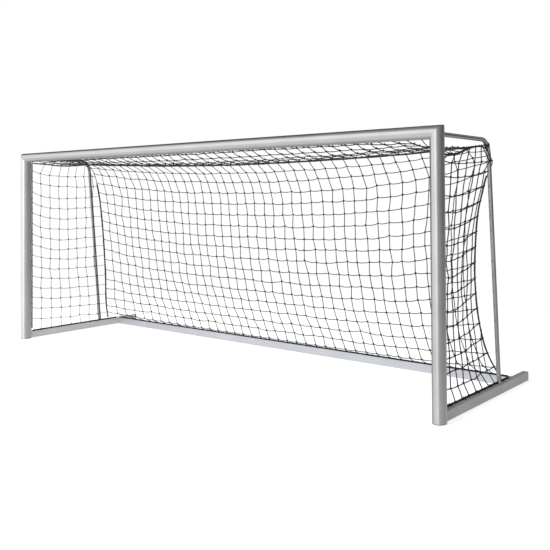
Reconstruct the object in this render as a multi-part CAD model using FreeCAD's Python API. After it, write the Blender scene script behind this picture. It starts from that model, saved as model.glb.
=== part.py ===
"""Youth soccer goal, 5 m x 2 m mouth: oval aluminium posts and crossbar, a ground frame of
rectangular tube, two net hoops, and a net with its border ropes.

Millimetres. +X to the right seen from the pitch, +Y from the pitch into the goal, +Z up.
The origin is on the ground at the centre of the goal's footprint.
"""

import FreeCAD, Part
import math
import os

from FreeCAD import Rotation, Vector

# ---- driving dimensions -------------------------------------------------------------------
MOUTH_WIDTH = 5000  # clear width between the posts
MOUTH_HEIGHT = 2000  # ground to the crossbar's underside
FRAME_DEPTH = 1680  # posts' front to the ground bars' end caps

PROFILE_WIDTH = 100  # oval profile, across the face that the pitch sees
PROFILE_DEPTH = 120  # oval profile, front to rear
PROFILE_WALL = 3
GROOVE_ANGLE = 50  # ellipse parameter of the net groove, from inward towards the rear
GROOVE_SLOT = 8
GROOVE_WIDTH = 16
GROOVE_DEPTH = 12  # from the surface to the groove's floor
GROOVE_WALL = 2.5

BAR_WIDTH = 50
BAR_HEIGHT = 75
BAR_WALL = 3
BAR_CORNER = 3.5
REAR_BAR_SETBACK = 1345  # post axis to the rear ground bar's axis
END_CAP_PLATE = 12
END_CAP_PLUG = 18
END_CAP_GAP = 0.3  # plug to the tube's inside
FOOT_CAP_PLATE = 4
FOOT_CAP_RIM = 16
FOOT_CAP_WALL = 2

HOOP_DIAMETER = 34
HOOP_WALL = 2.5
HOOP_DROP = 11  # crossbar axis down to the hoop's top run
HOOP_CORNER = 880  # post axis to the corner where the top run's and the leg's axes meet
HOOP_FOOT = 1046  # post axis to the leg's axis at the ground bar's top
HOOP_BEND = 130
SPIGOT_LENGTH = 70
SPIGOT_CLEARANCE = 0.2

CASTING_WALL = 5
CASTING_INNER = 16  # how far the corner casting's section reaches inwards of the axis
CASTING_OUTER = 38
CASTING_FRONT = 30
CASTING_REAR = 22
CASTING_LEG = 220
BOSS_RADIUS = 9

ARM_WIDTH = 40  # castings' arms inside the ground bars
ARM_TOP = 68
FOOT_CASTING_HEIGHT = 165
FOOT_ARM_LENGTH = 200  # post axis to the arm's end
REAR_BLOCK_LENGTH = 130
REAR_ARM_LENGTH = 160

M8_RADIUS = 4
M8_HEAD_RADIUS = 7
M8_HEAD_HEIGHT = 4.4
M6_RADIUS = 3
M6_HEAD_RADIUS = 5.25
M6_HEAD_HEIGHT = 3.3
M6_SINK_RADIUS = 6
M6_SINK_HEIGHT = 3.3
FOOT_BOLT_HEIGHT = 125
SPOT_FACE = 0.7  # depth of the flat milled under a bolt head on the oval

MESH = 120  # the net's mesh, knot to knot
ROPE_DIAMETER = 8
NET_THICKNESS = 2
LEFT_HOOK_LOW = 150  # lowest hook on the left post
RIGHT_HOOK_LOW = 200  # lowest hook on the right post
GROUND_HOOK_PITCH = 240
HOOK_RING = 8  # the hook's bend, to the middle of its rod
HOOK_ROD = 2
HOOK_PAD_LENGTH = 14
HOOK_PAD_WIDTH = 26
HOOK_PAD_HEIGHT = 2.5
RIVET_RADIUS = 3.5
RIVET_HEIGHT = 1.6
LASHING_THICKNESS = 4.5

# ---- worked-out places --------------------------------------------------------------------
HALF_U = PROFILE_WIDTH / 2
HALF_V = PROFILE_DEPTH / 2
INNER_U = HALF_U - PROFILE_WALL
INNER_V = HALF_V - PROFILE_WALL
POST_X = MOUTH_WIDTH / 2 + HALF_U
POST_Y = -FRAME_DEPTH / 2 + HALF_V
CROSSBAR_Z = MOUTH_HEIGHT + HALF_U
FRAME_REAR = FRAME_DEPTH / 2
BAR_END = FRAME_REAR - END_CAP_PLATE
BAR_HALF = BAR_WIDTH / 2
REAR_BAR_Y = POST_Y + REAR_BAR_SETBACK
HOOP_Z = CROSSBAR_Z - HOOP_DROP
HOOP_TUBE = HOOP_DIAMETER / 2
HOOP_BORE = HOOP_TUBE - HOOP_WALL
SPIGOT_RADIUS = HOOP_BORE - SPIGOT_CLEARANCE
ROPE_RADIUS = ROPE_DIAMETER / 2
GROUND_RING_Z = BAR_HEIGHT + HOOK_PAD_HEIGHT - HOOK_ROD + HOOK_RING + HOOK_ROD
GROUND_ROPE_INSET = 20  # side ground bar's axis to the rope on its inner edge
GROUND_ROPE_X = POST_X - GROUND_ROPE_INSET
GROUND_ROPE_Y = REAR_BAR_Y - GROUND_ROPE_INSET

ALONG_X = Vector(1, 0, 0)
ALONG_Y = Vector(0, 1, 0)
ALONG_Z = Vector(0, 0, 1)
MIDDLE = Vector(0, 0, 0)


def groove_place():
    """The net groove's middle on the oval and its outward normal, as (u, v) pairs."""
    t = math.radians(GROOVE_ANGLE)
    place = (HALF_U * math.cos(t), HALF_V * math.sin(t))
    normal = (math.cos(t) / HALF_U, math.sin(t) / HALF_V)
    size = math.hypot(*normal)
    return place, (normal[0] / size, normal[1] / size)


(GROOVE_U, GROOVE_V), (NORMAL_U, NORMAL_V) = groove_place()
HOOK_REACH = 3 + HOOK_RING  # groove's mouth to the middle of the rope in its hook
FRONT_ROPE_U = GROOVE_U + HOOK_REACH * NORMAL_U
FRONT_ROPE_V = GROOVE_V + HOOK_REACH * NORMAL_V


# ---- small helpers ------------------------------------------------------------------------
def box(x, y, z):
    """A box from three (low, high) pairs."""
    return Part.makeBox(x[1] - x[0], y[1] - y[0], z[1] - z[0], Vector(x[0], y[0], z[0]))


def rod(radius, start, end):
    """A round rod between two points."""
    return Part.makeCylinder(radius, (end - start).Length, start, end - start)


def mirrored(shape):
    """The same piece on the goal's other side."""
    return shape.mirror(MIDDLE, ALONG_X)


def export(name, shapes):
    """Write a piece, or a group of like pieces, to its own file."""
    shape = shapes if isinstance(shapes, Part.Shape) else Part.makeCompound(shapes)
    shape.exportStep(f"parts/{name}.step")
    print(f"{name}: {len(shape.Solids)} solid(s), {shape.Volume / 1e3:.1f} cm3, valid {shape.isValid()}")


def export_pair(name, shapes):
    """Write the left piece and its mirror image on the right."""
    shape = shapes if isinstance(shapes, Part.Shape) else Part.makeCompound(shapes)
    export(f"left_{name}", shape)
    export(f"right_{name}", mirrored(shape))


# ---- oval profile -------------------------------------------------------------------------
def oval(half_u, half_v, length):
    """A solid elliptical bar along +Z: u is X and v is Y."""
    if half_u > half_v:
        ellipse = Part.Ellipse(MIDDLE, half_u, half_v)
    else:
        ellipse = Part.Ellipse(Vector(0, half_v, 0), Vector(-half_u, 0, 0), MIDDLE)
    return Part.Face(Part.Wire(ellipse.toShape())).extrude(Vector(0, 0, length))


def groove_bar(low, high, half_width, length):
    """A bar along +Z in the groove's own axes: low..high along its normal, from the surface."""
    bar = box((low, high), (-half_width, half_width), (0, length))
    bar.rotate(MIDDLE, ALONG_Z, math.degrees(math.atan2(NORMAL_V, NORMAL_U)))
    bar.translate(Vector(GROOVE_U, GROOVE_V, 0))
    return bar


def profile(length):
    """The hollow oval with its net groove, along +Z."""
    outside = oval(HALF_U, HALF_V, length)
    hollow = oval(INNER_U, INNER_V, length)
    floor = -GROOVE_DEPTH
    housing = groove_bar(floor - GROOVE_WALL, HALF_U, GROOVE_WIDTH / 2 + GROOVE_WALL, length)
    walls = outside.cut(hollow).fuse(housing.common(outside))
    slot = groove_bar(floor, HALF_U, GROOVE_SLOT / 2, length)
    channel = groove_bar(floor, -PROFILE_WALL, GROOVE_WIDTH / 2, length)
    return walls.cut(slot).cut(channel).removeSplitter()


def stand_left(shape):
    """Move a piece drawn in profile axes onto the left post's axis."""
    placed = shape.copy()
    placed.translate(Vector(-POST_X, POST_Y, 0))
    return placed


def lay_across(shape, start_x):
    """Move a piece drawn in profile axes onto the crossbar's axis, from start_x rightwards."""
    placed = shape.copy()
    placed.rotate(MIDDLE, ALONG_Y, 90)
    placed.translate(Vector(start_x, POST_Y, CROSSBAR_Z))
    return placed


def mitre_wedge(above):
    """The space above or below the left corner's mitre plane."""
    reach = 3 * PROFILE_WIDTH
    side = 1 if above else -1
    corners = [
        Vector(-POST_X - reach, POST_Y - PROFILE_DEPTH, CROSSBAR_Z + reach),
        Vector(-POST_X + reach, POST_Y - PROFILE_DEPTH, CROSSBAR_Z - reach),
        Vector(-POST_X + side * reach, POST_Y - PROFILE_DEPTH, CROSSBAR_Z + side * reach),
    ]
    face = Part.Face(Part.makePolygon(corners + corners[:1]))
    return face.extrude(Vector(0, 2 * PROFILE_DEPTH, 0))


POST_SOLID = stand_left(oval(HALF_U, HALF_V, CROSSBAR_Z + HALF_U)).cut(mitre_wedge(True))
CROSSBAR_SOLID = lay_across(oval(HALF_U, HALF_V, POST_X), -POST_X - HALF_U).cut(mitre_wedge(False))


# ---- fasteners ----------------------------------------------------------------------------
def head_bolt(seat, inward, grip, radius=M8_RADIUS, head=M8_HEAD_RADIUS, height=M8_HEAD_HEIGHT):
    """A button-head bolt: its head stands on seat and its shank runs inward."""
    shank = rod(radius, seat, seat + inward * grip)
    base = rod(head, seat, seat - inward * (height * 0.45))
    dome = Part.makeCone(head, head * 0.55, height * 0.55, seat - inward * (height * 0.45), -inward)
    socket = rod(radius * 0.6, seat - inward * height, seat - inward * (height * 0.4))
    return shank.fuse(base).fuse(dome).cut(socket).removeSplitter()


def sunk_screw(x, y, grip):
    """A countersunk M6 screw that points up, with its head flush inside a bar's underside."""
    foot = Vector(x, y, 0.2)
    head = Part.makeCone(M6_SINK_RADIUS, M6_RADIUS, M6_SINK_HEIGHT, foot, ALONG_Z)
    shank = rod(M6_RADIUS, foot, foot + ALONG_Z * grip)
    socket = rod(M6_RADIUS * 0.6, foot, foot + ALONG_Z * 2)
    return head.fuse(shank).cut(socket).removeSplitter()


def screw_hole(x, y, grip):
    """The countersunk hole that sunk_screw fills, open at the underside."""
    foot = Vector(x, y, 0.2)
    head = Part.makeCone(M6_SINK_RADIUS, M6_RADIUS, M6_SINK_HEIGHT, foot, ALONG_Z)
    mouth = rod(M6_SINK_RADIUS, Vector(x, y, -1), foot)
    return head.fuse(rod(M6_RADIUS, foot, foot + ALONG_Z * grip)).fuse(mouth)


# ---- where the bolts go, on the left side --------------------------------------------------
CORNER_BOLT_STEPS = (90, 180)  # along each leg of the corner casting, from the mitre's middle
SEAT_Y = POST_Y + HALF_V - SPOT_FACE
CORNER_SEATS = [Vector(-POST_X, SEAT_Y, CROSSBAR_Z - step) for step in CORNER_BOLT_STEPS]
CORNER_SEATS += [Vector(-POST_X + step, SEAT_Y, CROSSBAR_Z) for step in CORNER_BOLT_STEPS]
FOOT_SEAT = Vector(-POST_X, SEAT_Y, FOOT_BOLT_HEIGHT)
BOLT_GRIP = HALF_V - SPOT_FACE - CASTING_REAR + CASTING_WALL
FOOT_SCREWS = [(-POST_X, POST_Y + 105), (-POST_X, POST_Y + 165)]
REAR_SCREWS = [(-POST_X, REAR_BAR_Y - 48), (-POST_X, REAR_BAR_Y + 48)]
REAR_SCREWS += [(-POST_X + 65, REAR_BAR_Y), (-POST_X + 130, REAR_BAR_Y)]
SCREW_GRIP = 11
HOOP_TOP_SEAT = POST_Y + HALF_V + 12  # the hoop spigot's bolt head, inside the spigot
HOOP_FOOT_POINT = Vector(-POST_X, POST_Y + HOOP_FOOT, BAR_HEIGHT)
LEG_DIRECTION = (Vector(-POST_X, POST_Y + HOOP_CORNER, HOOP_Z) - HOOP_FOOT_POINT).normalize()


def rear_bolt_holes(seats):
    """Shank holes and the flats milled under the heads, for bolts driven from the rear."""
    holes = []
    for seat in seats:
        holes.append(rod(M8_RADIUS, seat - ALONG_Y * HALF_V, seat))
        holes.append(rod(M8_HEAD_RADIUS + 0.3, seat, seat + ALONG_Y * HALF_V))
    return holes


def hoop_top_bolt_hole():
    """The hole through the corner's rear wall for the hoop spigot's bolt."""
    seat = Vector(-POST_X, HOOP_TOP_SEAT, HOOP_Z)
    return rod(M8_RADIUS, seat - ALONG_Y * (HALF_V + 12), seat)


# ---- posts and crossbar -------------------------------------------------------------------
def left_post():
    """The left post, mitred at the top, with a pocket at its foot for the ground bar's casting."""
    length = CROSSBAR_Z + HALF_U - FOOT_CAP_PLATE
    post = stand_left(profile(length))
    post.translate(Vector(0, 0, FOOT_CAP_PLATE))
    post = post.cut(mitre_wedge(True))
    half = ARM_WIDTH / 2 + 0.5
    x = (-POST_X - half, -POST_X + half)
    height = FOOT_CASTING_HEIGHT + 1
    pocket = box(x, (POST_Y, POST_Y + HALF_V + 5), (0, ARM_TOP + 0.5))
    above = box(x, (POST_Y, POST_Y + CASTING_REAR + 0.5), (0, height))
    post = post.cut(pocket).cut(above.common(stand_left(oval(INNER_U, INNER_V, height))))
    for hole in rear_bolt_holes(CORNER_SEATS[:2] + [FOOT_SEAT]) + [hoop_top_bolt_hole()]:
        post = post.cut(hole)
    return post


def crossbar():
    """The crossbar, mitred at both ends."""
    length = 2 * (POST_X + HALF_U)
    bar = lay_across(profile(length), -POST_X - HALF_U)
    holes = rear_bolt_holes(CORNER_SEATS[2:]) + [hoop_top_bolt_hole()]
    for cutter in [mitre_wedge(False)] + holes:
        bar = bar.cut(cutter).cut(mirrored(cutter))
    return bar


def corner_casting():
    """The angle casting that slides into the mitred post and crossbar."""
    y = (POST_Y - CASTING_FRONT, POST_Y + CASTING_REAR)
    left = -POST_X - CASTING_OUTER
    top = CROSSBAR_Z + CASTING_OUTER
    down = box((left, -POST_X + CASTING_INNER), y, (CROSSBAR_Z - CASTING_LEG, top))
    across = box((left, -POST_X + CASTING_LEG), y, (CROSSBAR_Z - CASTING_INNER, top))
    wall = CASTING_WALL
    inner_y = (y[0] + wall, y[1] - wall)
    hollow_down = box(
        (left + wall, -POST_X + CASTING_INNER - wall), inner_y, (CROSSBAR_Z - CASTING_LEG, top - wall)
    )
    hollow_across = box(
        (left + wall, -POST_X + CASTING_LEG), inner_y, (CROSSBAR_Z - CASTING_INNER + wall, top - wall)
    )
    casting = down.fuse(across).cut(hollow_down).cut(hollow_across)
    cavity = stand_left(oval(INNER_U - 0.1, INNER_V - 0.1, CROSSBAR_Z + HALF_U)).cut(mitre_wedge(True))
    across_inside = lay_across(oval(INNER_U - 0.1, INNER_V - 0.1, 3 * CASTING_LEG), -POST_X - HALF_U)
    cavity = cavity.fuse(across_inside.cut(mitre_wedge(False)))
    hoop_seat = Vector(-POST_X, HOOP_TOP_SEAT, HOOP_Z)
    for seat in CORNER_SEATS + [hoop_seat]:
        start = Vector(seat.x, y[1] - wall, seat.z)
        boss = rod(BOSS_RADIUS, start, Vector(seat.x, POST_Y + HALF_V, seat.z)).common(cavity)
        casting = casting.fuse(boss)
    for seat in CORNER_SEATS:
        casting = casting.cut(rod(M8_RADIUS, Vector(seat.x, y[1] - wall - 1, seat.z), seat))
    casting = casting.cut(rod(M8_RADIUS, Vector(-POST_X, y[1] - wall - 1, HOOP_Z), hoop_seat))
    return casting.removeSplitter()


def corner_bolts():
    return [head_bolt(seat, -ALONG_Y, BOLT_GRIP) for seat in CORNER_SEATS]


def foot_cap():
    """The plastic cap under a post: a plate with a rim that plugs into the oval."""
    plate = stand_left(oval(HALF_U, HALF_V, FOOT_CAP_PLATE))
    gap = 0.1
    height = FOOT_CAP_PLATE + FOOT_CAP_RIM
    rim = oval(INNER_U - gap, INNER_V - gap, height).cut(
        oval(INNER_U - gap - FOOT_CAP_WALL, INNER_V - gap - FOOT_CAP_WALL, height)
    )
    rim = rim.common(box((-HALF_U, HALF_U), (-HALF_V, 0), (0, height)))
    return plate.fuse(stand_left(rim)).removeSplitter()


# ---- ground frame -------------------------------------------------------------------------
def rounded_bar(length, width, height, corner):
    """A solid rectangular bar along +Y from the origin, centred on X, standing on Z = 0."""
    bar = box((-width / 2, width / 2), (0, length), (0, height))
    edges = [e for e in bar.Edges if abs(e.tangentAt(e.FirstParameter).y) > 0.9]
    return bar.makeFillet(corner, edges)


def ground_tube(length):
    """The rectangular tube of the ground frame, along +Y."""
    hollow = rounded_bar(length, BAR_WIDTH - 2 * BAR_WALL, BAR_HEIGHT - 2 * BAR_WALL, 1)
    hollow.translate(Vector(0, 0, BAR_WALL))
    return rounded_bar(length, BAR_WIDTH, BAR_HEIGHT, BAR_CORNER).cut(hollow)


def left_ground_bar():
    """The side bar, coped onto the post's oval at the front and open for its cap at the rear."""
    bar = ground_tube(BAR_END - POST_Y)
    bar.translate(Vector(-POST_X, POST_Y, 0))
    bar = bar.cut(stand_left(oval(HALF_U, HALF_V, BAR_HEIGHT)))
    front_waste = box(
        (-POST_X - BAR_WIDTH, -POST_X + BAR_WIDTH), (POST_Y - 1, POST_Y + HALF_V / 2), (-1, BAR_HEIGHT + 1)
    )
    bar = bar.cut(front_waste)
    half = ARM_WIDTH / 2 + 0.5
    window = box(
        (-POST_X + BAR_HALF - 2 * BAR_WALL, -POST_X + BAR_WIDTH),
        (REAR_BAR_Y - half, REAR_BAR_Y + half),
        (BAR_WALL, ARM_TOP + 0.5),
    )
    bar = bar.cut(window)
    for x, y in FOOT_SCREWS + REAR_SCREWS[:2]:
        bar = bar.cut(screw_hole(x, y, SCREW_GRIP))
    foot = HOOP_FOOT_POINT
    access = rod(M8_HEAD_RADIUS + 1, Vector(foot.x, foot.y, -1), Vector(foot.x, foot.y, BAR_WALL + 1))
    shank = rod(M8_RADIUS, Vector(foot.x, foot.y, BAR_HEIGHT / 2), foot + ALONG_Z)
    return bar.cut(access).cut(shank)


def rear_ground_bar():
    """The rear bar, square-cut between the side bars' inner faces."""
    length = 2 * (POST_X - BAR_HALF)
    bar = ground_tube(length)
    bar.rotate(MIDDLE, ALONG_Z, -90)
    bar.translate(Vector(-length / 2, REAR_BAR_Y, 0))
    for x, y in REAR_SCREWS[2:]:
        hole = screw_hole(x, y, SCREW_GRIP)
        bar = bar.cut(hole).cut(mirrored(hole))
    return bar


def foot_casting():
    """The angle casting that joins a post's foot to its ground bar."""
    wall = CASTING_WALL
    x = (-POST_X - ARM_WIDTH / 2, -POST_X + CASTING_INNER)
    base = FOOT_CAP_PLATE + 0.5
    y = (POST_Y - CASTING_FRONT, POST_Y + CASTING_REAR)
    upright = box(x, y, (base, FOOT_CASTING_HEIGHT))
    upright = upright.cut(
        box((x[0] + wall, x[1] - wall), (y[0] + wall, y[1] - wall), (ARM_TOP, FOOT_CASTING_HEIGHT))
    )
    arm_x = (-POST_X - ARM_WIDTH / 2, -POST_X + ARM_WIDTH / 2)
    arm_end = POST_Y + FOOT_ARM_LENGTH
    neck = box(arm_x, (y[1] - wall, POST_Y + HALF_V + 1), (base, ARM_TOP))
    arm = box(arm_x, (POST_Y + HALF_V + 1, arm_end), (BAR_WALL, ARM_TOP))
    pocket_z = (BAR_WALL + SCREW_GRIP, ARM_TOP - wall)
    pocket = box((arm_x[0] + wall, arm_x[1] - wall), (POST_Y + HALF_V + wall, arm_end), pocket_z)
    boss = rod(BOSS_RADIUS, Vector(-POST_X, y[1] - wall, FOOT_BOLT_HEIGHT), FOOT_SEAT)
    boss = boss.common(stand_left(oval(INNER_U - 0.1, INNER_V - 0.1, FOOT_CASTING_HEIGHT)))
    casting = upright.fuse(neck).fuse(arm).cut(pocket).fuse(boss)
    casting = casting.cut(rod(M8_RADIUS, Vector(-POST_X, y[1] - wall - 1, FOOT_BOLT_HEIGHT), FOOT_SEAT))
    for screw_x, screw_y in FOOT_SCREWS:
        casting = casting.cut(screw_hole(screw_x, screw_y, SCREW_GRIP))
    return casting.removeSplitter()


def foot_bolts():
    screws = [sunk_screw(x, y, SCREW_GRIP - 0.2) for x, y in FOOT_SCREWS]
    return [head_bolt(FOOT_SEAT, -ALONG_Y, BOLT_GRIP)] + screws


def rear_casting():
    """The T casting that joins a side ground bar to the rear bar."""
    wall = CASTING_WALL
    z = (BAR_WALL, ARM_TOP)
    pocket_z = (BAR_WALL + SCREW_GRIP, ARM_TOP - wall)
    block_x = (-POST_X - ARM_WIDTH / 2, -POST_X + ARM_WIDTH / 2)
    block_y = (REAR_BAR_Y - REAR_BLOCK_LENGTH / 2, REAR_BAR_Y + REAR_BLOCK_LENGTH / 2)
    arm_x = (-POST_X, -POST_X + REAR_ARM_LENGTH)
    arm_y = (REAR_BAR_Y - ARM_WIDTH / 2, REAR_BAR_Y + ARM_WIDTH / 2)
    casting = box(block_x, block_y, z).fuse(box(arm_x, arm_y, z))
    casting = casting.cut(box((block_x[0] + wall, block_x[1] - wall), block_y, pocket_z))
    casting = casting.cut(box((block_x[1] - wall, arm_x[1]), (arm_y[0] + wall, arm_y[1] - wall), pocket_z))
    for x, y in REAR_SCREWS:
        casting = casting.cut(screw_hole(x, y, SCREW_GRIP))
    return casting.removeSplitter()


def rear_screws():
    return [sunk_screw(x, y, SCREW_GRIP - 0.2) for x, y in REAR_SCREWS]


def end_cap():
    """The plastic cap in a side bar's rear end."""
    plate = rounded_bar(END_CAP_PLATE, BAR_WIDTH, BAR_HEIGHT, BAR_CORNER)
    inside_width = BAR_WIDTH - 2 * (BAR_WALL + END_CAP_GAP)
    inside_height = BAR_HEIGHT - 2 * (BAR_WALL + END_CAP_GAP)
    plug = box((-inside_width / 2, inside_width / 2), (-END_CAP_PLUG, 0), (0, inside_height))
    hollow = box((-inside_width / 2 + 2, inside_width / 2 - 2), (-END_CAP_PLUG, 0), (2, inside_height - 2))
    plug = plug.cut(hollow)
    plug.translate(Vector(0, 0, BAR_WALL + END_CAP_GAP))
    cap = plate.fuse(plug)
    cap.translate(Vector(-POST_X, BAR_END, 0))
    return cap.removeSplitter()


# ---- net hoops ----------------------------------------------------------------------------
def hoop_wire(start, foot):
    """The hoop's axis: the top run, the bend and the leaning leg, on the left side."""
    corner = Vector(-POST_X, POST_Y + HOOP_CORNER, HOOP_Z)
    down = (foot - corner).normalize()
    half_turn = math.acos(down.dot(ALONG_Y)) / 2
    tangent = HOOP_BEND * math.tan(half_turn)
    bend_start = corner - ALONG_Y * tangent
    bend_end = corner + down * tangent
    centre_way = (down - ALONG_Y).normalize()
    centre = corner + centre_way * (HOOP_BEND / math.cos(half_turn))
    crown = centre - centre_way * HOOP_BEND
    edges = [
        Part.LineSegment(start, bend_start).toShape(),
        Part.Arc(bend_start, crown, bend_end).toShape(),
        Part.LineSegment(bend_end, foot).toShape(),
    ]
    return Part.Wire(edges)


def pipe(wire, radius):
    """A solid round bar along a wire."""
    first = wire.Edges[0]
    start = first.valueAt(first.FirstParameter)
    circle = Part.Wire(Part.makeCircle(radius, start, first.tangentAt(first.FirstParameter)))
    return wire.makePipeShell([circle], True, False)


def net_hoop():
    """The bent tube from the top corner's rear down to the ground bar, coped at both ends."""
    start = Vector(-POST_X, POST_Y + HALF_V / 2, HOOP_Z)
    foot = HOOP_FOOT_POINT - LEG_DIRECTION * HOOP_DIAMETER
    wire = hoop_wire(start, foot)
    tube = pipe(wire, HOOP_TUBE).cut(pipe(wire, HOOP_BORE))
    tube = tube.cut(POST_SOLID).cut(CROSSBAR_SOLID)
    tube = tube.cut(foot_waste())
    for seat, inward in hoop_screw_seats():
        tube = tube.cut(rod(M6_RADIUS, seat, seat + inward * HOOP_TUBE))
    return tube


def foot_waste():
    """The space below the ground bar's top at the hoop's foot."""
    foot = HOOP_FOOT_POINT
    return box((foot.x - 99, foot.x + 99), (foot.y - 99, foot.y + 99), (-99, BAR_HEIGHT))


def hoop_screw_seats():
    """Where the hoop's two set screws stand on the tube, and which way they point."""
    top = Vector(-POST_X, POST_Y + HALF_V + 45, HOOP_Z)
    foot = HOOP_FOOT_POINT + LEG_DIRECTION * 45
    return [(top - ALONG_Z * HOOP_TUBE, ALONG_Z), (foot - ALONG_X * HOOP_TUBE, ALONG_X)]


def hoop_screws():
    return [
        head_bolt(seat, inward, HOOP_TUBE / 2, M6_RADIUS, M6_HEAD_RADIUS, M6_HEAD_HEIGHT)
        for seat, inward in hoop_screw_seats()
    ]


def top_spigot():
    """The turned plug on the corner's rear that the hoop slides over."""
    start = Vector(-POST_X, POST_Y + HALF_V / 2, HOOP_Z)
    end = Vector(-POST_X, POST_Y + HALF_V + SPIGOT_LENGTH, HOOP_Z)
    seat = Vector(-POST_X, HOOP_TOP_SEAT, HOOP_Z)
    spigot = rod(SPIGOT_RADIUS, start, end).cut(POST_SOLID).cut(CROSSBAR_SOLID)
    spigot = spigot.cut(rod(M8_HEAD_RADIUS + 1, seat, end)).cut(hoop_top_bolt_hole())
    screw_seat, inward = hoop_screw_seats()[0]
    return spigot.cut(rod(M6_RADIUS, screw_seat, screw_seat + inward * HOOP_TUBE))


def foot_spigot():
    """The leaning plug on the ground bar that the hoop's leg stands over."""
    foot = HOOP_FOOT_POINT
    spigot = rod(SPIGOT_RADIUS, foot - LEG_DIRECTION * HOOP_TUBE, foot + LEG_DIRECTION * SPIGOT_LENGTH)
    spigot = spigot.cut(foot_waste()).cut(rod(M8_RADIUS, foot, foot + ALONG_Z * 22))
    screw_seat, inward = hoop_screw_seats()[1]
    return spigot.cut(rod(M6_RADIUS, screw_seat, screw_seat + inward * HOOP_TUBE))


def spigot_bolts():
    """One bolt holds each spigot: from inside it at the top, from inside the bar at the foot."""
    top = head_bolt(Vector(-POST_X, HOOP_TOP_SEAT, HOOP_Z), -ALONG_Y, HALF_V)
    foot = HOOP_FOOT_POINT
    bottom = head_bolt(Vector(foot.x, foot.y, BAR_HEIGHT - BAR_WALL), ALONG_Z, BAR_WALL + 20)
    return [top, bottom]


# ---- net hooks ----------------------------------------------------------------------------
def hook_ring(centre, axis, opening):
    """An open ring of round rod about centre; opening is the direction of its gap."""
    gap = 70
    ring = Part.makeTorus(HOOK_RING, HOOK_ROD, MIDDLE, ALONG_Z, 0, 360, 360 - gap)
    ring.rotate(MIDDLE, ALONG_Z, gap / 2)
    across = axis.cross(opening)
    turn = FreeCAD.Matrix(
        opening.x, across.x, axis.x, centre.x,
        opening.y, across.y, axis.y, centre.y,
        opening.z, across.z, axis.z, centre.z,
        0, 0, 0, 1,
    )
    return ring.transformShape(turn, True)


def profile_hook():
    """The plastic clip that turns into the oval's groove, in profile axes, at w = 0."""
    foot = box((-GROOVE_DEPTH + 0.5, -PROFILE_WALL - 0.8), (-7, 7), (-3.5, 3.5))
    neck = box((-PROFILE_WALL - 0.8, HOOK_REACH - HOOK_RING), (-3, 3), (-3, 3))
    clip = foot.fuse(neck)
    clip.rotate(MIDDLE, ALONG_Z, math.degrees(math.atan2(NORMAL_V, NORMAL_U)))
    clip.translate(Vector(GROOVE_U, GROOVE_V, 0))
    centre = Vector(FRONT_ROPE_U, FRONT_ROPE_V, 0)
    return clip.fuse(hook_ring(centre, ALONG_Z, Vector(-NORMAL_V, NORMAL_U, 0))).removeSplitter()


def post_hooks(lowest):
    """The left post's hooks, one for each row of the net from the lowest up."""
    hook = stand_left(profile_hook())
    rows = int((MOUTH_HEIGHT - lowest - MESH / 4) / MESH) + 1
    return [hook.translated(Vector(0, 0, lowest + MESH * row)) for row in range(rows)]


def crossbar_hooks():
    hook = lay_across(profile_hook(), 0)
    columns = int(MOUTH_WIDTH / 2 / MESH)
    return [hook.translated(Vector(MESH * column, 0, 0)) for column in range(-columns, columns + 1)]


def ground_hook(x, y, outward, along):
    """A clip on a ground bar's top: a pad and an open ring that the ground rope runs through."""
    pad_top = BAR_HEIGHT + HOOK_PAD_HEIGHT
    near = -HOOK_ROD * 2
    ends = [
        Vector(x, y, BAR_HEIGHT) + outward * reach + along * (side * HOOK_PAD_LENGTH / 2)
        for reach, side in ((near, -1), (HOOK_PAD_WIDTH + near, -1), (HOOK_PAD_WIDTH + near, 1), (near, 1))
    ]
    pad = Part.Face(Part.makePolygon(ends + ends[:1])).extrude(ALONG_Z * HOOK_PAD_HEIGHT)
    ring = hook_ring(Vector(x, y, GROUND_RING_Z), along, (ALONG_Z + outward).normalize())
    above = box((x - 50, x + 50), (y - 50, y + 50), (pad_top - HOOK_ROD / 2, pad_top + 50))
    return pad.fuse(ring.common(above)).removeSplitter()


def ground_rivet(x, y, outward):
    """The blind rivet through a ground hook's pad."""
    place = Vector(x, y, BAR_HEIGHT + HOOK_PAD_HEIGHT) + outward * (HOOK_PAD_WIDTH - 10)
    return Part.makeCone(RIVET_RADIUS, RIVET_RADIUS * 0.5, RIVET_HEIGHT, place, ALONG_Z)


def side_hook_places():
    """Where the hooks stand along a side ground bar; the last one holds the corner rope."""
    first = POST_Y + 200
    return [first + GROUND_HOOK_PITCH * i for i in range(4)] + [POST_Y + 1155, POST_Y + 1270]


def rear_hook_places():
    reach = int((POST_X - 200) / GROUND_HOOK_PITCH)
    return [GROUND_HOOK_PITCH * i for i in range(-reach, reach + 1)]


# ---- net and ropes ------------------------------------------------------------------------
def from_post(points):
    """Points given from the post axis, moved into the goal's frame."""
    return [Vector(x, POST_Y + y, z) for x, y, z in points]


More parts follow.
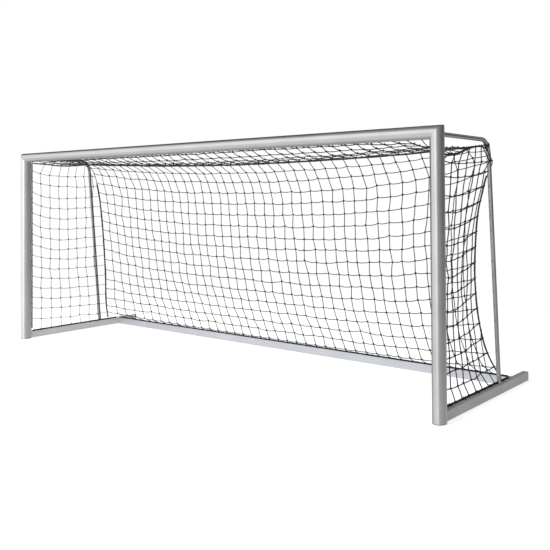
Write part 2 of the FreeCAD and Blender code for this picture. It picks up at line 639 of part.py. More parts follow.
def rope(points, diameter=ROPE_DIAMETER, largest=100000):
    """A rope along straight runs joined by tangent arcs as large as the runs allow."""
    edges = []
    radii = []
    here = points[0]
    for before, corner, after in zip(points, points[1:], points[2:]):
        into = (corner - before).normalize()
        away = (after - corner).normalize()
        half_turn = into.getAngle(away) / 2
        shorter = min((corner - before).Length, (after - corner).Length)
        radius = min(0.45 * shorter / math.tan(half_turn), largest)
        tangent = radius * math.tan(half_turn)
        bend_start = corner - into * tangent
        bend_end = corner + away * tangent
        middle = (away - into).normalize()
        crown = corner + middle * (radius / math.cos(half_turn) - radius)
        edges.append(Part.LineSegment(here, bend_start).toShape())
        edges.append(Part.Arc(bend_start, crown, bend_end).toShape())
        radii.append(radius)
        here = bend_end
    edges.append(Part.LineSegment(here, points[-1]).toShape())
    wire = Part.Wire(edges)
    tube = pipe(wire, diameter / 2)
    section = math.pi * diameter**2 / 4
    print(
        f"  rope {wire.Length:.0f} mm, volume / (section x length) {tube.Volume / section / wire.Length:.4f},"
        f" smallest radius {min(radii, default=0):.0f} mm"
    )
    return tube


def rear_top_rope():
    """The net's rear top edge, tight between the hoops and sagging under the net."""
    return rope(from_post([
        (-2528, 848, 1998), (-2370, 856, 1988), (-1930, 862, 1972), (-1410, 866, 1953),
        (-900, 868, 1937), (-350, 870, 1926), (200, 870, 1925), (750, 869, 1931),
        (1280, 867, 1941), (1780, 864, 1955), (2190, 860, 1977), (2400, 855, 1992), (2528, 848, 1998),
    ]))


def left_side_rope():
    """The left side net's top edge, from the post's top hook to the hoop's bend."""
    return rope(from_post([
        (-2512, 66, 1992), (-2518, 170, 1990), (-2524, 280, 1983), (-2529, 395, 1976),
        (-2532, 510, 1973), (-2532, 620, 1977), (-2530, 730, 1987), (-2526, 832, 2000),
    ]))


def right_side_rope():
    """The right side net's top edge; it starts lower on its post than the left one."""
    return rope(from_post([
        (2512, 66, 1908), (2520, 165, 1903), (2526, 265, 1905), (2530, 365, 1916),
        (2532, 465, 1938), (2532, 565, 1963), (2531, 670, 1981), (2528, 765, 1991), (2524, 832, 1994),
    ]))


def left_corner_rope():
    """The left rear corner of the net, pulled in from the hoop down to the ground bar."""
    return rope(from_post([
        (-2520, 862, 1984), (-2478, 886, 1925), (-2445, 899, 1850), (-2430, 914, 1755),
        (-2420, 934, 1640), (-2413, 949, 1520), (-2407, 961, 1400), (-2402, 970, 1280),
        (-2396, 978, 1160), (-2391, 984, 1040), (-2388, 991, 920), (-2388, 999, 800),
        (-2391, 1010, 680), (-2402, 1022, 560), (-2421, 1038, 445), (-2447, 1062, 335),
        (-2480, 1097, 230), (-2510, 1134, 155), (-2527, 1157, 101),
    ]))


def right_corner_rope():
    """The right rear corner of the net: once round the hoop's leg, then pulled in by the net."""
    return rope(from_post([
        (2522, 856, 1988), (2533, 846, 1975), (2554, 852, 1956), (2568, 868, 1917),
        (2574, 882, 1893), (2573, 906, 1867), (2560, 922, 1837), (2540, 925, 1800),
        (2525, 910, 1755), (2508, 902, 1690), (2492, 905, 1625), (2460, 912, 1525),
        (2437, 924, 1415), (2420, 938, 1300), (2406, 950, 1180), (2396, 961, 1060),
        (2391, 968, 940), (2392, 978, 820), (2397, 989, 700), (2407, 1001, 580),
        (2425, 1013, 465), (2447, 1028, 360), (2477, 1060, 255), (2505, 1106, 170), (2526, 1146, 101),
    ]))


def left_ground_rope():
    """The side net's hem along the left ground bar."""
    return rope(from_post([
        (-2526, 70, 87), (-2530, 320, 85), (-2531, 560, 86), (-2530, 800, 85),
        (-2528, 1035, 86), (-2530, 1290, 85),
    ]))


def right_ground_rope():
    """The side net's hem along the right ground bar."""
    return rope(from_post([
        (2526, 70, 87), (2530, 320, 85), (2529, 560, 86), (2531, 800, 85),
        (2528, 1035, 86), (2530, 1290, 85),
    ]))


def rear_ground_rope():
    """The back net's hem along the rear ground bar."""
    y = REAR_BAR_SETBACK - GROUND_ROPE_INSET
    return rope(from_post([
        (-2512, y, 86), (-2040, y + 1, 85), (-1560, y - 1, 86), (-1080, y + 1, 85),
        (-600, y, 86), (-120, y + 1, 85), (360, y - 1, 86), (840, y + 1, 85),
        (1320, y, 86), (1800, y + 1, 85), (2280, y - 1, 86), (2512, y, 85),
    ]))


def front_rope():
    """The net's front edge, through the hooks on both posts and the crossbar."""
    x = POST_X - FRONT_ROPE_U
    z = CROSSBAR_Z - FRONT_ROPE_U
    return rope(from_post([
        (-x, FRONT_ROPE_V, 110), (-x, FRONT_ROPE_V, z), (x, FRONT_ROPE_V, z), (x, FRONT_ROPE_V, 110),
    ]), largest=5 * ROPE_DIAMETER)


def strip(corners, thickness):
    """A flat piece of net: its corners, and the way its thickness goes."""
    points = from_post(corners)
    return Part.Face(Part.makePolygon(points + points[:1])).extrude(thickness)


def net_top():
    """The net's roof, from the crossbar's hooks to the rear top rope."""
    return [strip([
        (-2500, 64, 2006), (2500, 64, 2006), (2485, 850, 1958), (-2485, 850, 1958),
    ], ALONG_Z * NET_THICKNESS)]


def net_back():
    """The net's back: it bulges below the rear rope, hangs, and flares out to the rear bar."""
    levels = [
        (2400, 870, 1913), (2400, 1000, 1730), (2370, 1062, 1150), (2370, 1130, 620), (2505, 1312, 97),
    ]
    strips = []
    for (x_high, y_high, z_high), (x_low, y_low, z_low) in zip(levels, levels[1:]):
        corners = [
            (-x_high, y_high, z_high), (x_high, y_high, z_high), (x_low, y_low, z_low), (-x_low, y_low, z_low),
        ]
        strips.append(strip(corners, ALONG_Y * NET_THICKNESS))
    return strips


def net_side(side, top_front):
    """A side of the net in three flats, because its rear edge is pulled in at half height."""
    low_front = (side * 2522, 64, 98)
    high_front = (side * 2508, 72, top_front)
    high_rear = (side * 2520, 826, 1970)
    pulled = (side * 2404, 936, 1050)
    low_rear = (side * 2524, 1120, 98)
    upper = (high_front, high_rear, pulled)
    faces = [(low_front, high_front, pulled), upper, (low_front, pulled, low_rear)]
    return [strip(face, ALONG_X * (-side * NET_THICKNESS)) for face in faces]


def lashing(angle_start, angle_end):
    """Cord wound round the hoop's bend, on the left side, between two angles of the bend."""
    start = Vector(-POST_X, POST_Y + HALF_V, HOOP_Z)
    arc = hoop_wire(start, HOOP_FOOT_POINT).Edges[1]
    centre = arc.Curve.Center
    bend_start = arc.valueAt(arc.FirstParameter)
    ends = []
    for angle in (angle_start, (angle_start + angle_end) / 2, angle_end):
        turn = Rotation(-ALONG_X, angle)
        ends.append(centre + turn.multVec(bend_start - centre))
    wire = Part.Wire(Part.Arc(*ends).toShape())
    return pipe(wire, HOOP_TUBE + LASHING_THICKNESS).cut(pipe(wire, HOOP_TUBE + 0.1))


# ---- write every piece --------------------------------------------------------------------
os.makedirs("parts", exist_ok=True)

export_pair("post", left_post())
export("crossbar", crossbar())
export_pair("corner_casting", corner_casting())
export_pair("corner_bolts", corner_bolts())
export_pair("post_foot_cap", foot_cap())

export_pair("ground_bar", left_ground_bar())
export("rear_ground_bar", rear_ground_bar())
export_pair("foot_casting", foot_casting())
export_pair("foot_bolts", foot_bolts())
export_pair("rear_corner_casting", rear_casting())
export_pair("rear_corner_screws", rear_screws())
export_pair("ground_bar_end_cap", end_cap())

export_pair("net_hoop", net_hoop())
export_pair("hoop_top_spigot", top_spigot())
export_pair("hoop_foot_spigot", foot_spigot())
export_pair("hoop_spigot_bolts", spigot_bolts())
export_pair("hoop_screws", hoop_screws())

export("left_post_net_hooks", post_hooks(LEFT_HOOK_LOW))
export("right_post_net_hooks", [mirrored(hook) for hook in post_hooks(RIGHT_HOOK_LOW)])
export("crossbar_net_hooks", crossbar_hooks())
export_pair("ground_bar_net_hooks", [
    ground_hook(-GROUND_ROPE_X, y, -ALONG_X, ALONG_Y) for y in side_hook_places()
])
export("rear_bar_net_hooks", [
    ground_hook(x, GROUND_ROPE_Y, ALONG_Y, ALONG_X) for x in rear_hook_places()
])
export_pair("ground_bar_hook_rivets", [ground_rivet(-GROUND_ROPE_X, y, -ALONG_X) for y in side_hook_places()])
export("rear_bar_hook_rivets", [ground_rivet(x, GROUND_ROPE_Y, ALONG_Y) for x in rear_hook_places()])

export("net_top", net_top())
export("net_back", net_back())
export("net_left_side", net_side(-1, 1975))
export("net_right_side", net_side(1, 1890))
export("net_front_rope", front_rope())
export("net_rear_top_rope", rear_top_rope())
export("net_left_side_rope", left_side_rope())
export("net_right_side_rope", right_side_rope())
export("net_left_corner_rope", left_corner_rope())
export("net_right_corner_rope", right_corner_rope())
export("net_left_ground_rope", left_ground_rope())
export("net_right_ground_rope", right_ground_rope())
export("net_rear_ground_rope", rear_ground_rope())
export_pair("hoop_lashing", lashing(38, 58))
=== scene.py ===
"""Looks of a youth soccer goal: anodised aluminium frame, ground bars, net hoops and a knotted net.

Metres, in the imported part's frame: +X to the right seen from the pitch, +Y into the goal, +Z up.
Routes are written from the posts' axis, as in the part's source, and moved by POST_Y.
"""

import math

import bpy
import numpy as np
from mathutils import Matrix, Vector

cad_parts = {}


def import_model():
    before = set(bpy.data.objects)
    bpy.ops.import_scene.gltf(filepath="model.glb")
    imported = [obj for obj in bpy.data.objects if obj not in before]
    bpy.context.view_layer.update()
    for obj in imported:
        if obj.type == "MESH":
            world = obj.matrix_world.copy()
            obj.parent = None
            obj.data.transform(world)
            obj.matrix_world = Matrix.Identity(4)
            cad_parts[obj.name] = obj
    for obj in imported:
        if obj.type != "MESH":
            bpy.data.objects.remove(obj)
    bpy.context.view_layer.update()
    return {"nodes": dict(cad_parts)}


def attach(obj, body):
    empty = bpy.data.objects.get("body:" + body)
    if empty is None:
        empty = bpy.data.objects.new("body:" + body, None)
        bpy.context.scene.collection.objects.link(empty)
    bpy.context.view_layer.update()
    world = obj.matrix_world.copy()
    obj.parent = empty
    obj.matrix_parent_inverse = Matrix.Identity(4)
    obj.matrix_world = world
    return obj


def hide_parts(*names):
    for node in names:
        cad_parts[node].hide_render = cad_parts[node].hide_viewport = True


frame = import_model()

# ---- the goal's places ----------------------------------------------------------------------
POST_Y = -0.780  # posts' axis in the frame
GROOVE_X = 2.51006  # front rope on the posts
GROOVE_V = 0.05371  # front rope behind the posts' axis
GROOVE_Z = 2.01006  # front rope under the crossbar
HOOP_X = 2.550  # hoops' axes
HOOP_TUBE = 0.017  # the hoop tube's radius
HOOP_BEND_V, HOOP_BEND_Z = 0.7605, 1.909  # centre of the hoops' bends, from the posts' axis
HOOP_BEND = 0.130  # radius of the bends' axis

# ---- sizes of the cords -------------------------------------------------------------------------
MESH = 0.120  # between the net's knots
ROPE = 0.008  # the border ropes' diameter
ROPE_LAY = 0.030  # length of one turn of a rope's strands
ROPE_STEP = 0.0035  # least distance between the points read from a rope's curve
ROUTE_STEPS = 160  # a curve's steps from one point of its route to the next
FRONT_ROUTE_STEPS = 1000  # and for the front rope, whose runs are the longest
NET_CORD = 0.0074  # diameter in the back and roof nets
FAR_NET_CORD = 0.0052  # diameter in the left side net
NEAR_NET_CORD = 0.0083  # diameter in the right side net
CORD_SIDES = 6  # faces round a net cord or a rope's strand
CORD_POINTS = 5  # along a net cord from knot to knot
KNOT = 0.0100  # half a knot's length
KNOT_SHAPE = (1.0, 0.85, 1.05)  # a knot's three axes
KNOT_SPREAD = (0.92, 1.1)  # smallest and largest knot
KNOT_TILT = 0.5  # most that a knot leans, in radians
HITCH_CORD = 0.0045  # pulled tight
HITCH_TURNS = 2
HITCH_POINTS = 19
HITCH_OUT, HITCH_PITCH = 0.42, 1.3  # its axis outside the rope and its advance, in cord diameters
EDGE_CORD_OUT = 0.0074  # how far the edge cords lie from the border ropes' axes
HEM_CORD_OUT, HEM_CORD_DOWN = 0.0038, 0.0066  # and from the hem ropes' axes
EDGE_CORD_THINNING = 4  # an edge cord follows every fourth point of its rope
EDGE_CORD_WAVER = 0.12  # share by which its distance from the rope comes and goes
EDGE_CORD_WAVER_RATE = 19.0  # radians of that for each metre
CORNER_CORD_TOP = 1.76  # height where the corner ropes leave the hoops
LASHING = 0.0045  # the lashings' cord
LASHING_TURNS = 3.5
LASHING_ARC = (38.5, 57.5)  # degrees of a hoop's bend that a lashing covers
LASHING_POINTS = 160
LASHING_SIDES = 8
LASHING_LIFT = 0.8  # how far the last turn lies on the others, in cord diameters
LASHING_START = 0.6  # where round the tube a lashing begins, in radians

# ---- the cords' routes, from the posts' axis ---------------------------------------------------
STRAIGHT = 0.048  # how far from a corner of the front rope its long runs are straight

ROUTES = {
    "net_rear_top_rope": [
        (-2.528, 0.848, 1.998), (-2.370, 0.856, 1.988), (-1.930, 0.862, 1.972),
        (-1.410, 0.866, 1.953), (-0.900, 0.868, 1.937), (-0.350, 0.870, 1.926),
        (0.200, 0.870, 1.925), (0.750, 0.869, 1.931), (1.280, 0.867, 1.941),
        (1.780, 0.864, 1.955), (2.190, 0.860, 1.977), (2.400, 0.855, 1.992), (2.528, 0.848, 1.998),
    ],
    "net_left_side_rope": [
        (-2.512, 0.066, 1.992), (-2.518, 0.170, 1.990), (-2.524, 0.280, 1.983),
        (-2.529, 0.395, 1.976), (-2.532, 0.510, 1.973), (-2.532, 0.620, 1.977),
        (-2.530, 0.730, 1.987), (-2.526, 0.832, 2.000),
    ],
    "net_right_side_rope": [
        (2.512, 0.066, 1.908), (2.520, 0.165, 1.903), (2.526, 0.265, 1.905),
        (2.530, 0.365, 1.916), (2.532, 0.465, 1.938), (2.532, 0.565, 1.963),
        (2.531, 0.670, 1.981), (2.528, 0.765, 1.991), (2.524, 0.832, 1.994),
    ],
    "net_left_corner_rope": [
        (-2.520, 0.862, 1.984), (-2.478, 0.886, 1.925), (-2.445, 0.899, 1.850),
        (-2.430, 0.914, 1.755), (-2.420, 0.934, 1.640), (-2.413, 0.949, 1.520),
        (-2.407, 0.961, 1.400), (-2.402, 0.970, 1.280), (-2.396, 0.978, 1.160),
        (-2.391, 0.984, 1.040), (-2.388, 0.991, 0.920), (-2.388, 0.999, 0.800),
        (-2.391, 1.010, 0.680), (-2.402, 1.022, 0.560), (-2.421, 1.038, 0.445),
        (-2.447, 1.062, 0.335), (-2.480, 1.097, 0.230), (-2.510, 1.134, 0.155), (-2.527, 1.157, 0.101),
    ],
    "net_right_corner_rope": [
        (2.522, 0.856, 1.988), (2.533, 0.846, 1.975), (2.554, 0.852, 1.956), (2.568, 0.868, 1.917),
        (2.574, 0.882, 1.893), (2.573, 0.906, 1.867), (2.560, 0.922, 1.837), (2.540, 0.925, 1.800),
        (2.525, 0.910, 1.755), (2.508, 0.902, 1.690), (2.492, 0.905, 1.625), (2.460, 0.912, 1.525),
        (2.437, 0.924, 1.415), (2.420, 0.938, 1.300), (2.406, 0.950, 1.180), (2.396, 0.961, 1.060),
        (2.391, 0.968, 0.940), (2.392, 0.978, 0.820), (2.397, 0.989, 0.700), (2.407, 1.001, 0.580),
        (2.425, 1.013, 0.465), (2.447, 1.028, 0.360), (2.477, 1.060, 0.255), (2.505, 1.106, 0.170),
        (2.526, 1.146, 0.101),
    ],
    "net_left_ground_rope": [
        (-2.526, 0.070, 0.087), (-2.530, 0.320, 0.085), (-2.531, 0.560, 0.086),
        (-2.530, 0.800, 0.085), (-2.528, 1.035, 0.086), (-2.530, 1.290, 0.085),
    ],
    "net_right_ground_rope": [
        (2.526, 0.070, 0.087), (2.530, 0.320, 0.085), (2.529, 0.560, 0.086),
        (2.531, 0.800, 0.085), (2.528, 1.035, 0.086), (2.530, 1.290, 0.085),
    ],
    "net_rear_ground_rope": [
        (-2.512, 1.325, 0.086), (-2.040, 1.326, 0.085), (-1.560, 1.324, 0.086),
        (-1.080, 1.326, 0.085), (-0.600, 1.325, 0.086), (-0.120, 1.326, 0.085),
        (0.360, 1.324, 0.086), (0.840, 1.326, 0.085), (1.320, 1.325, 0.086),
        (1.800, 1.326, 0.085), (2.280, 1.324, 0.086), (2.512, 1.325, 0.085),
    ],
    "net_front_rope": [
        (-GROOVE_X, GROOVE_V, 0.110), (-GROOVE_X, GROOVE_V, GROOVE_Z - STRAIGHT),
        (-GROOVE_X, GROOVE_V, GROOVE_Z), (-GROOVE_X + STRAIGHT, GROOVE_V, GROOVE_Z),
        (GROOVE_X - STRAIGHT, GROOVE_V, GROOVE_Z), (GROOVE_X, GROOVE_V, GROOVE_Z),
        (GROOVE_X, GROOVE_V, GROOVE_Z - STRAIGHT), (GROOVE_X, GROOVE_V, 0.110),
    ],
}

# ---- the net, in rows from the rear rope down to the rear bar -----------------------------------
BACK_COLUMNS = 40
ROOF_COLUMNS = 42
# the back net's middle, behind the posts' axis and above the ground, row by row
BACK_PROFILE = [
    (0.870, 1.925), (0.930, 1.836), (0.985, 1.742), (1.022, 1.630), (1.037, 1.516), (1.043, 1.400),
    (1.047, 1.286), (1.053, 1.170), (1.060, 1.060), (1.072, 0.950), (1.090, 0.834), (1.110, 0.725),
    (1.133, 0.614), (1.162, 0.505), (1.200, 0.398), (1.245, 0.293), (1.290, 0.195), (1.322, 0.100),
]
# heights at which the same rows meet the left and the right corner rope
LEFT_ENDS = [
    1.985, 1.955, 1.886, 1.774, 1.661, 1.550, 1.435, 1.318, 1.205,
    1.090, 0.969, 0.844, 0.718, 0.596, 0.480, 0.362, 0.261, 0.174,
]
RIGHT_ENDS = [
    1.975, 1.955, 1.920, 1.875, 1.795, 1.678, 1.557, 1.435, 1.309,
    1.187, 1.060, 0.930, 0.803, 0.680, 0.558, 0.436, 0.315, 0.200,
]
BACK_LEAN, BACK_LEAN_CHANGE = -0.037, 0.1  # sideways lean at the top, and its change to the foot
TOP_ROW_LAG = 0.019  # how far left along the rear rope the back hangs, over its length
ROPE_SAG_ROWS = 7  # rows over which the rear rope's sag dies out
CORNER_REACH = 0.60  # how far a corner's pull is felt along a row
# the roof's rows: behind the posts' axis, and the share of the drop from crossbar to rear rope
ROOF_ROWS = [
    (GROOVE_V, 0.0), (0.174, 0.05), (0.294, 0.56), (0.414, 0.90),
    (0.533, 0.99), (0.650, 1.08), (0.765, 1.10), (0.868, 1.0),
]
ROOF_DRIFT = 0.024  # sideways lean of the roof's cords, per row
ROOF_EDGE_REACH = 0.16  # how far a side rope's height is felt along a row
ROOF_HITCH_SHIFT = 0.012  # how far the roof's hitches are from the back's on the rear rope
# how far a side net's row sags: share of its length from the post, and drop
SIDE_SAG = [
    (0.0, 0.0), (0.13, 0.040), (0.25, 0.056), (0.37, 0.060), (0.50, 0.056),
    (0.62, 0.044), (0.75, 0.030), (0.88, 0.016), (1.0, 0.0),
]
SIDE_ROWS = 15
LEFT_HOOKS = [0.225 + MESH * r for r in range(SIDE_ROWS)]
RIGHT_HOOKS = [0.20 + MESH * r for r in range(SIDE_ROWS)]
LEFT_SIDE_ROW_ENDS = [hook - 0.055 for hook in LEFT_HOOKS]  # heights on the corner rope
RIGHT_SIDE_ROW_ENDS = RIGHT_ENDS[17:2:-1]  # the back net's rows, upwards
# share of SIDE_SAG in each row: the low rows and the two highest are pulled straighter
LEFT_ROW_SAGS = [0.3, 0.3, 0.4, 0.5, 0.6, 0.7, 0.8, 0.9, *[1.0] * 5, 0.6, 0.6]
RIGHT_ROW_SAGS = [0.35, 0.4, 0.65, 0.8, *[1.0] * 9, 0.6, 0.6]
SIDE_PITCH = 0.1155  # along a side net's rows
LOW_PITCH = {-1: (0.017, 5.0), 1: (-0.003, 2.0)}  # change in the lowest row, rows it fades over
SIDE_FIRST = 0.93  # the first knot's distance from the post, in pitches
SIDE_LAST_GAP = 0.035  # least distance from the last knot to the corner rope
SIDE_FOOT_LAG, SIDE_FOOT_SPREAD = 0.005, 0.007  # a column's foot behind its lowest knot, per column
SIDE_HEAD_RISE = 0.07  # from a column's highest knot to its head, back along or up the rope
SIDE_HEAD_LIMIT = 0.01  # least distance from a column's head to the side rope's end
ON_POST = 0.004  # how near the groove's X the front rope counts as on the post

# how uneven the knots' places are, in x, y and z, and how far the cords between them hang and bow
BACK_UNEVEN = (0.0045, 0.005, 0.004)
ROOF_UNEVEN = (0.004, 0.005, 0.003)
SIDE_UNEVEN = (0.005, 0.003, 0.003)
BACK_DROOP, ROOF_DROOP, ROOF_COLUMN_DROOP, SIDE_DROOP = 0.006, 0.005, 0.004, 0.004
BOW, ROOF_BOW = 0.0015, 0.002
BOW_RISE = 0.4  # share of a cord's bow that may go up or down
DROOP_LEAST, DROOP_SPREAD = 0.6, 0.8  # shares of the droop: the least, and what chance adds

# ---- the studio ------------------------------------------------------------------------------
FLOOR_REACH = 60.0  # half the floor's width
FLOOR_GAP = 0.001  # between the floor and the goal's underside
FLOOR_GLIMMER = 0.70  # the floor's own light, which keeps it near white
FLOOR_FADE = (3.2, 6.0)  # distances from the goal over which the floor turns into the backdrop
STUDIO_STRENGTH = 2.0  # above every light in STUDIO
STUDIO_AZIMUTH = math.radians(-87)  # the direction that STUDIO's angles start from
# the studio's light by direction: degrees, positive towards +X, and the light there
STUDIO = [
    (-180, 0.28), (-168, 0.08), (-158, 0.03), (-140, 0.03), (-126, 0.06), (-100, 0.20),
    (-78, 1.00), (-48, 1.25), (-16, 1.20), (-2, 1.40), (10, 1.90), (19, 1.90), (28, 0.75),
    (44, 0.42), (80, 0.28), (106, 0.15), (150, 0.12), (160, 0.36), (172, 0.40), (180, 0.28),
]
# lights by height above the horizon: the sines where each begins and is full, its light, its share
LEVELS = [
    (-0.02, -0.28, 0.75, 0.65),  # the floor
    (0.62, 0.85, 0.30, 0.9),  # the dim ceiling
]

# ---- the camera --------------------------------------------------------------------------------
EYE = Vector((5.0293, -4.9461 + POST_Y, 1.6055))
YAW, PITCH, ROLL = 0.7034, 0.0176, -0.0051
SENSOR = 36.0
LENS = 49.7684  # on that sensor, in millimetres
SHIFT_X, SHIFT_Y = 0.04109, -0.16835


def world(points):
    """Points given from the posts' axis, in the frame."""
    return [(x, y + POST_Y, z) for x, y, z in points]


# ---- materials -------------------------------------------------------------------------------
DIE_LINES_ACROSS, DIE_LINES_ALONG = 220.0, 1.2  # fineness of the extrusions' marks, per metre
PLAIT_ANGLE = math.radians(38)  # of a cord's ridges to its length


def new_material(name):
    """An empty node material and its shader."""
    material = bpy.data.materials.new(name)
    material.use_nodes = True
    nodes = material.node_tree.nodes
    return material, nodes, material.node_tree.links, nodes["Principled BSDF"]


def noise(nodes, links, scale, detail, stretch=(1.0, 1.0, 1.0)):
    """Noise in the object's own space, stretched along an axis if asked."""
    place = nodes.new("ShaderNodeTexCoord")
    mapping = nodes.new("ShaderNodeMapping")
    mapping.inputs["Scale"].default_value = stretch
    texture = nodes.new("ShaderNodeTexNoise")
    texture.inputs["Scale"].default_value = scale
    texture.inputs["Detail"].default_value = detail
    links.new(place.outputs["Object"], mapping.inputs["Vector"])
    links.new(mapping.outputs["Vector"], texture.inputs["Vector"])
    return texture.outputs["Fac"]


def spread(nodes, links, value, low, high, start=0.3, end=0.7):
    """A value from start..end remapped to low..high, and held there outside it."""
    ramp = nodes.new("ShaderNodeMapRange")
    ramp.inputs["From Min"].default_value = start
    ramp.inputs["From Max"].default_value = end
    ramp.inputs["To Min"].default_value = low
    ramp.inputs["To Max"].default_value = high
    links.new(value, ramp.inputs["Value"])
    return ramp.outputs["Result"]


def blend_colours(nodes, links, value, dark, light):
    """A colour between two, by a value."""
    mix = nodes.new("ShaderNodeMix")
    mix.data_type = "RGBA"
    mix.inputs["A"].default_value = (*dark, 1.0)
    mix.inputs["B"].default_value = (*light, 1.0)
    links.new(value, mix.inputs["Factor"])
    return mix.outputs["Result"]


def bump(nodes, links, shader, value, strength, distance):
    """Adds relief from a value."""
    relief = nodes.new("ShaderNodeBump")
    relief.inputs["Strength"].default_value = strength
    relief.inputs["Distance"].default_value = distance
    links.new(value, relief.inputs["Height"])
    links.new(relief.outputs["Normal"], shader.inputs["Normal"])


def aluminium(name, dark, light, rough, along, metallic=1.0):
    """Anodised extrusion: fine die lines along the bar's axis (0, 1 or 2) and faint clouding."""
    material, nodes, links, shader = new_material(name)
    fineness = [DIE_LINES_ACROSS] * 3
    fineness[along] = DIE_LINES_ALONG
    lines = noise(nodes, links, scale=1.0, detail=2.0, stretch=fineness)
    clouds = noise(nodes, links, scale=3.5, detail=4.0)
    shader.inputs["Metallic"].default_value = metallic
    colour = blend_colours(nodes, links, spread(nodes, links, clouds, 0.0, 1.0), dark, light)
    links.new(colour, shader.inputs["Base Color"])
    links.new(
        spread(nodes, links, lines, rough - 0.04, rough + 0.05), shader.inputs["Roughness"]
    )
    bump(nodes, links, shader, lines, strength=0.06, distance=0.0004)
    return material


def cast_metal(name):
    """Sand-cast aluminium, matt and finely pitted."""
    material, nodes, links, shader = new_material(name)
    grain = noise(nodes, links, scale=900.0, detail=4.0)
    shader.inputs["Metallic"].default_value = 1.0
    colour = blend_colours(nodes, links, grain, (0.36, 0.36, 0.35), (0.52, 0.52, 0.51))
    links.new(colour, shader.inputs["Base Color"])
    links.new(spread(nodes, links, grain, 0.5, 0.65), shader.inputs["Roughness"])
    bump(nodes, links, shader, grain, strength=0.25, distance=0.0003)
    return material


def fastener_metal(name, tone, rough):
    """Plated steel or rivet metal with light handling marks."""
    material, nodes, links, shader = new_material(name)
    marks = noise(nodes, links, scale=400.0, detail=3.0)
    shader.inputs["Metallic"].default_value = 1.0
    light = tuple(min(1.0, c * 1.15) for c in tone)
    links.new(blend_colours(nodes, links, marks, tone, light), shader.inputs["Base Color"])
    links.new(spread(nodes, links, marks, rough - 0.06, rough + 0.08), shader.inputs["Roughness"])
    bump(nodes, links, shader, marks, strength=0.08, distance=0.0002)
    return material


def plastic(name, dark, light, rough, grain_scale):
    """Moulded plastic with a fine spark-eroded grain."""
    material, nodes, links, shader = new_material(name)
    grain = noise(nodes, links, scale=grain_scale, detail=2.0)
    clouds = noise(nodes, links, scale=30.0, detail=3.0)
    links.new(blend_colours(nodes, links, clouds, dark, light), shader.inputs["Base Color"])
    links.new(spread(nodes, links, clouds, rough - 0.05, rough + 0.08), shader.inputs["Roughness"])
    bump(nodes, links, shader, grain, strength=0.15, distance=0.0002)
    return material


def cord_material(name, dark, light, rough, plait):
    """Plaited polypropylene cord: two crossing sets of ridges that run round it, from its UVs; its
    grooves are coloured darker than its ridges, as painted shade.
    """
    material, nodes, links, shader = new_material(name)
    place = nodes.new("ShaderNodeTexCoord")
    ridges = []
    for side in (-1.0, 1.0):
        mapping = nodes.new("ShaderNodeMapping")
        mapping.inputs["Rotation"].default_value = (0.0, 0.0, side * PLAIT_ANGLE)
        wave = nodes.new("ShaderNodeTexWave")
        wave.inputs["Scale"].default_value = plait
        wave.inputs["Distortion"].default_value = 0.6
        links.new(place.outputs["UV"], mapping.inputs["Vector"])
        links.new(mapping.outputs["Vector"], wave.inputs["Vector"])
        ridges.append(wave.outputs["Fac"])
    highest = nodes.new("ShaderNodeMath")
    highest.operation = "MAXIMUM"
    links.new(ridges[0], highest.inputs[0])
    links.new(ridges[1], highest.inputs[1])
    weave_and_groove_shade = highest.outputs["Value"]
    # painted shade: the colour is dark where the weave is low, in the plait's grooves, and light on its
    # ridges
    links.new(blend_colours(nodes, links, weave_and_groove_shade, dark, light), shader.inputs["Base Color"])
    gloss = spread(nodes, links, weave_and_groove_shade, rough + 0.1, rough - 0.05, 0.0, 1.0)
    links.new(gloss, shader.inputs["Roughness"])
    shader.inputs["Sheen Weight"].default_value = 0.04
    bump(nodes, links, shader, weave_and_groove_shade, strength=0.5, distance=0.0004)
    return material


def floor_material():
    """A pale seamless floor that fades into the white backdrop away from the goal."""
    material, nodes, links, shader = new_material("pale_floor")
    clouds = noise(nodes, links, scale=0.6, detail=2.0)
    colour = blend_colours(nodes, links, clouds, (0.56, 0.56, 0.56), (0.60, 0.60, 0.60))
    links.new(colour, shader.inputs["Base Color"])
    shader.inputs["Roughness"].default_value = 0.95
    shader.inputs["Specular IOR Level"].default_value = 0.0
    shader.inputs["Emission Color"].default_value = (1.0, 1.0, 1.0, 1.0)
    shader.inputs["Emission Strength"].default_value = FLOOR_GLIMMER
    backdrop = nodes.new("ShaderNodeEmission")
    place = nodes.new("ShaderNodeTexCoord")
    reach = nodes.new("ShaderNodeVectorMath")
    reach.operation = "LENGTH"
    links.new(place.outputs["Object"], reach.inputs[0])
    fade = spread(nodes, links, reach.outputs["Value"], 0.0, 1.0, *FLOOR_FADE)
    choice = nodes.new("ShaderNodeMixShader")
    links.new(fade, choice.inputs["Fac"])
    links.new(shader.outputs["BSDF"], choice.inputs[1])
    links.new(backdrop.outputs["Emission"], choice.inputs[2])
    links.new(choice.outputs["Shader"], nodes["Material Output"].inputs["Surface"])
    return material


# ---- meshes of cord ----------------------------------------------------------------------------
def distances(line):
    """How far along a line each of its points is."""
    return np.concatenate([[0.0], np.cumsum(np.linalg.norm(np.diff(line, axis=0), axis=1))])


def frames_along(line, reference):
    """A unit side and up vector at every point of a line, turned as little as possible."""
    tangents = np.gradient(line, axis=0)
    tangents /= np.linalg.norm(tangents, axis=1, keepdims=True)
    side = np.cross(tangents[0], reference)
    side /= np.linalg.norm(side)
    sides = np.empty_like(line)
    for k, tangent in enumerate(tangents):
        side = side - tangent * side.dot(tangent)
        side = side / np.linalg.norm(side)
        sides[k] = side
    return sides, np.cross(tangents, sides)


def reference_for(line):
    """A direction that a line doesn't run along."""
    run = np.abs(line[-1] - line[0])
    return np.eye(3)[int(run.argmin())]


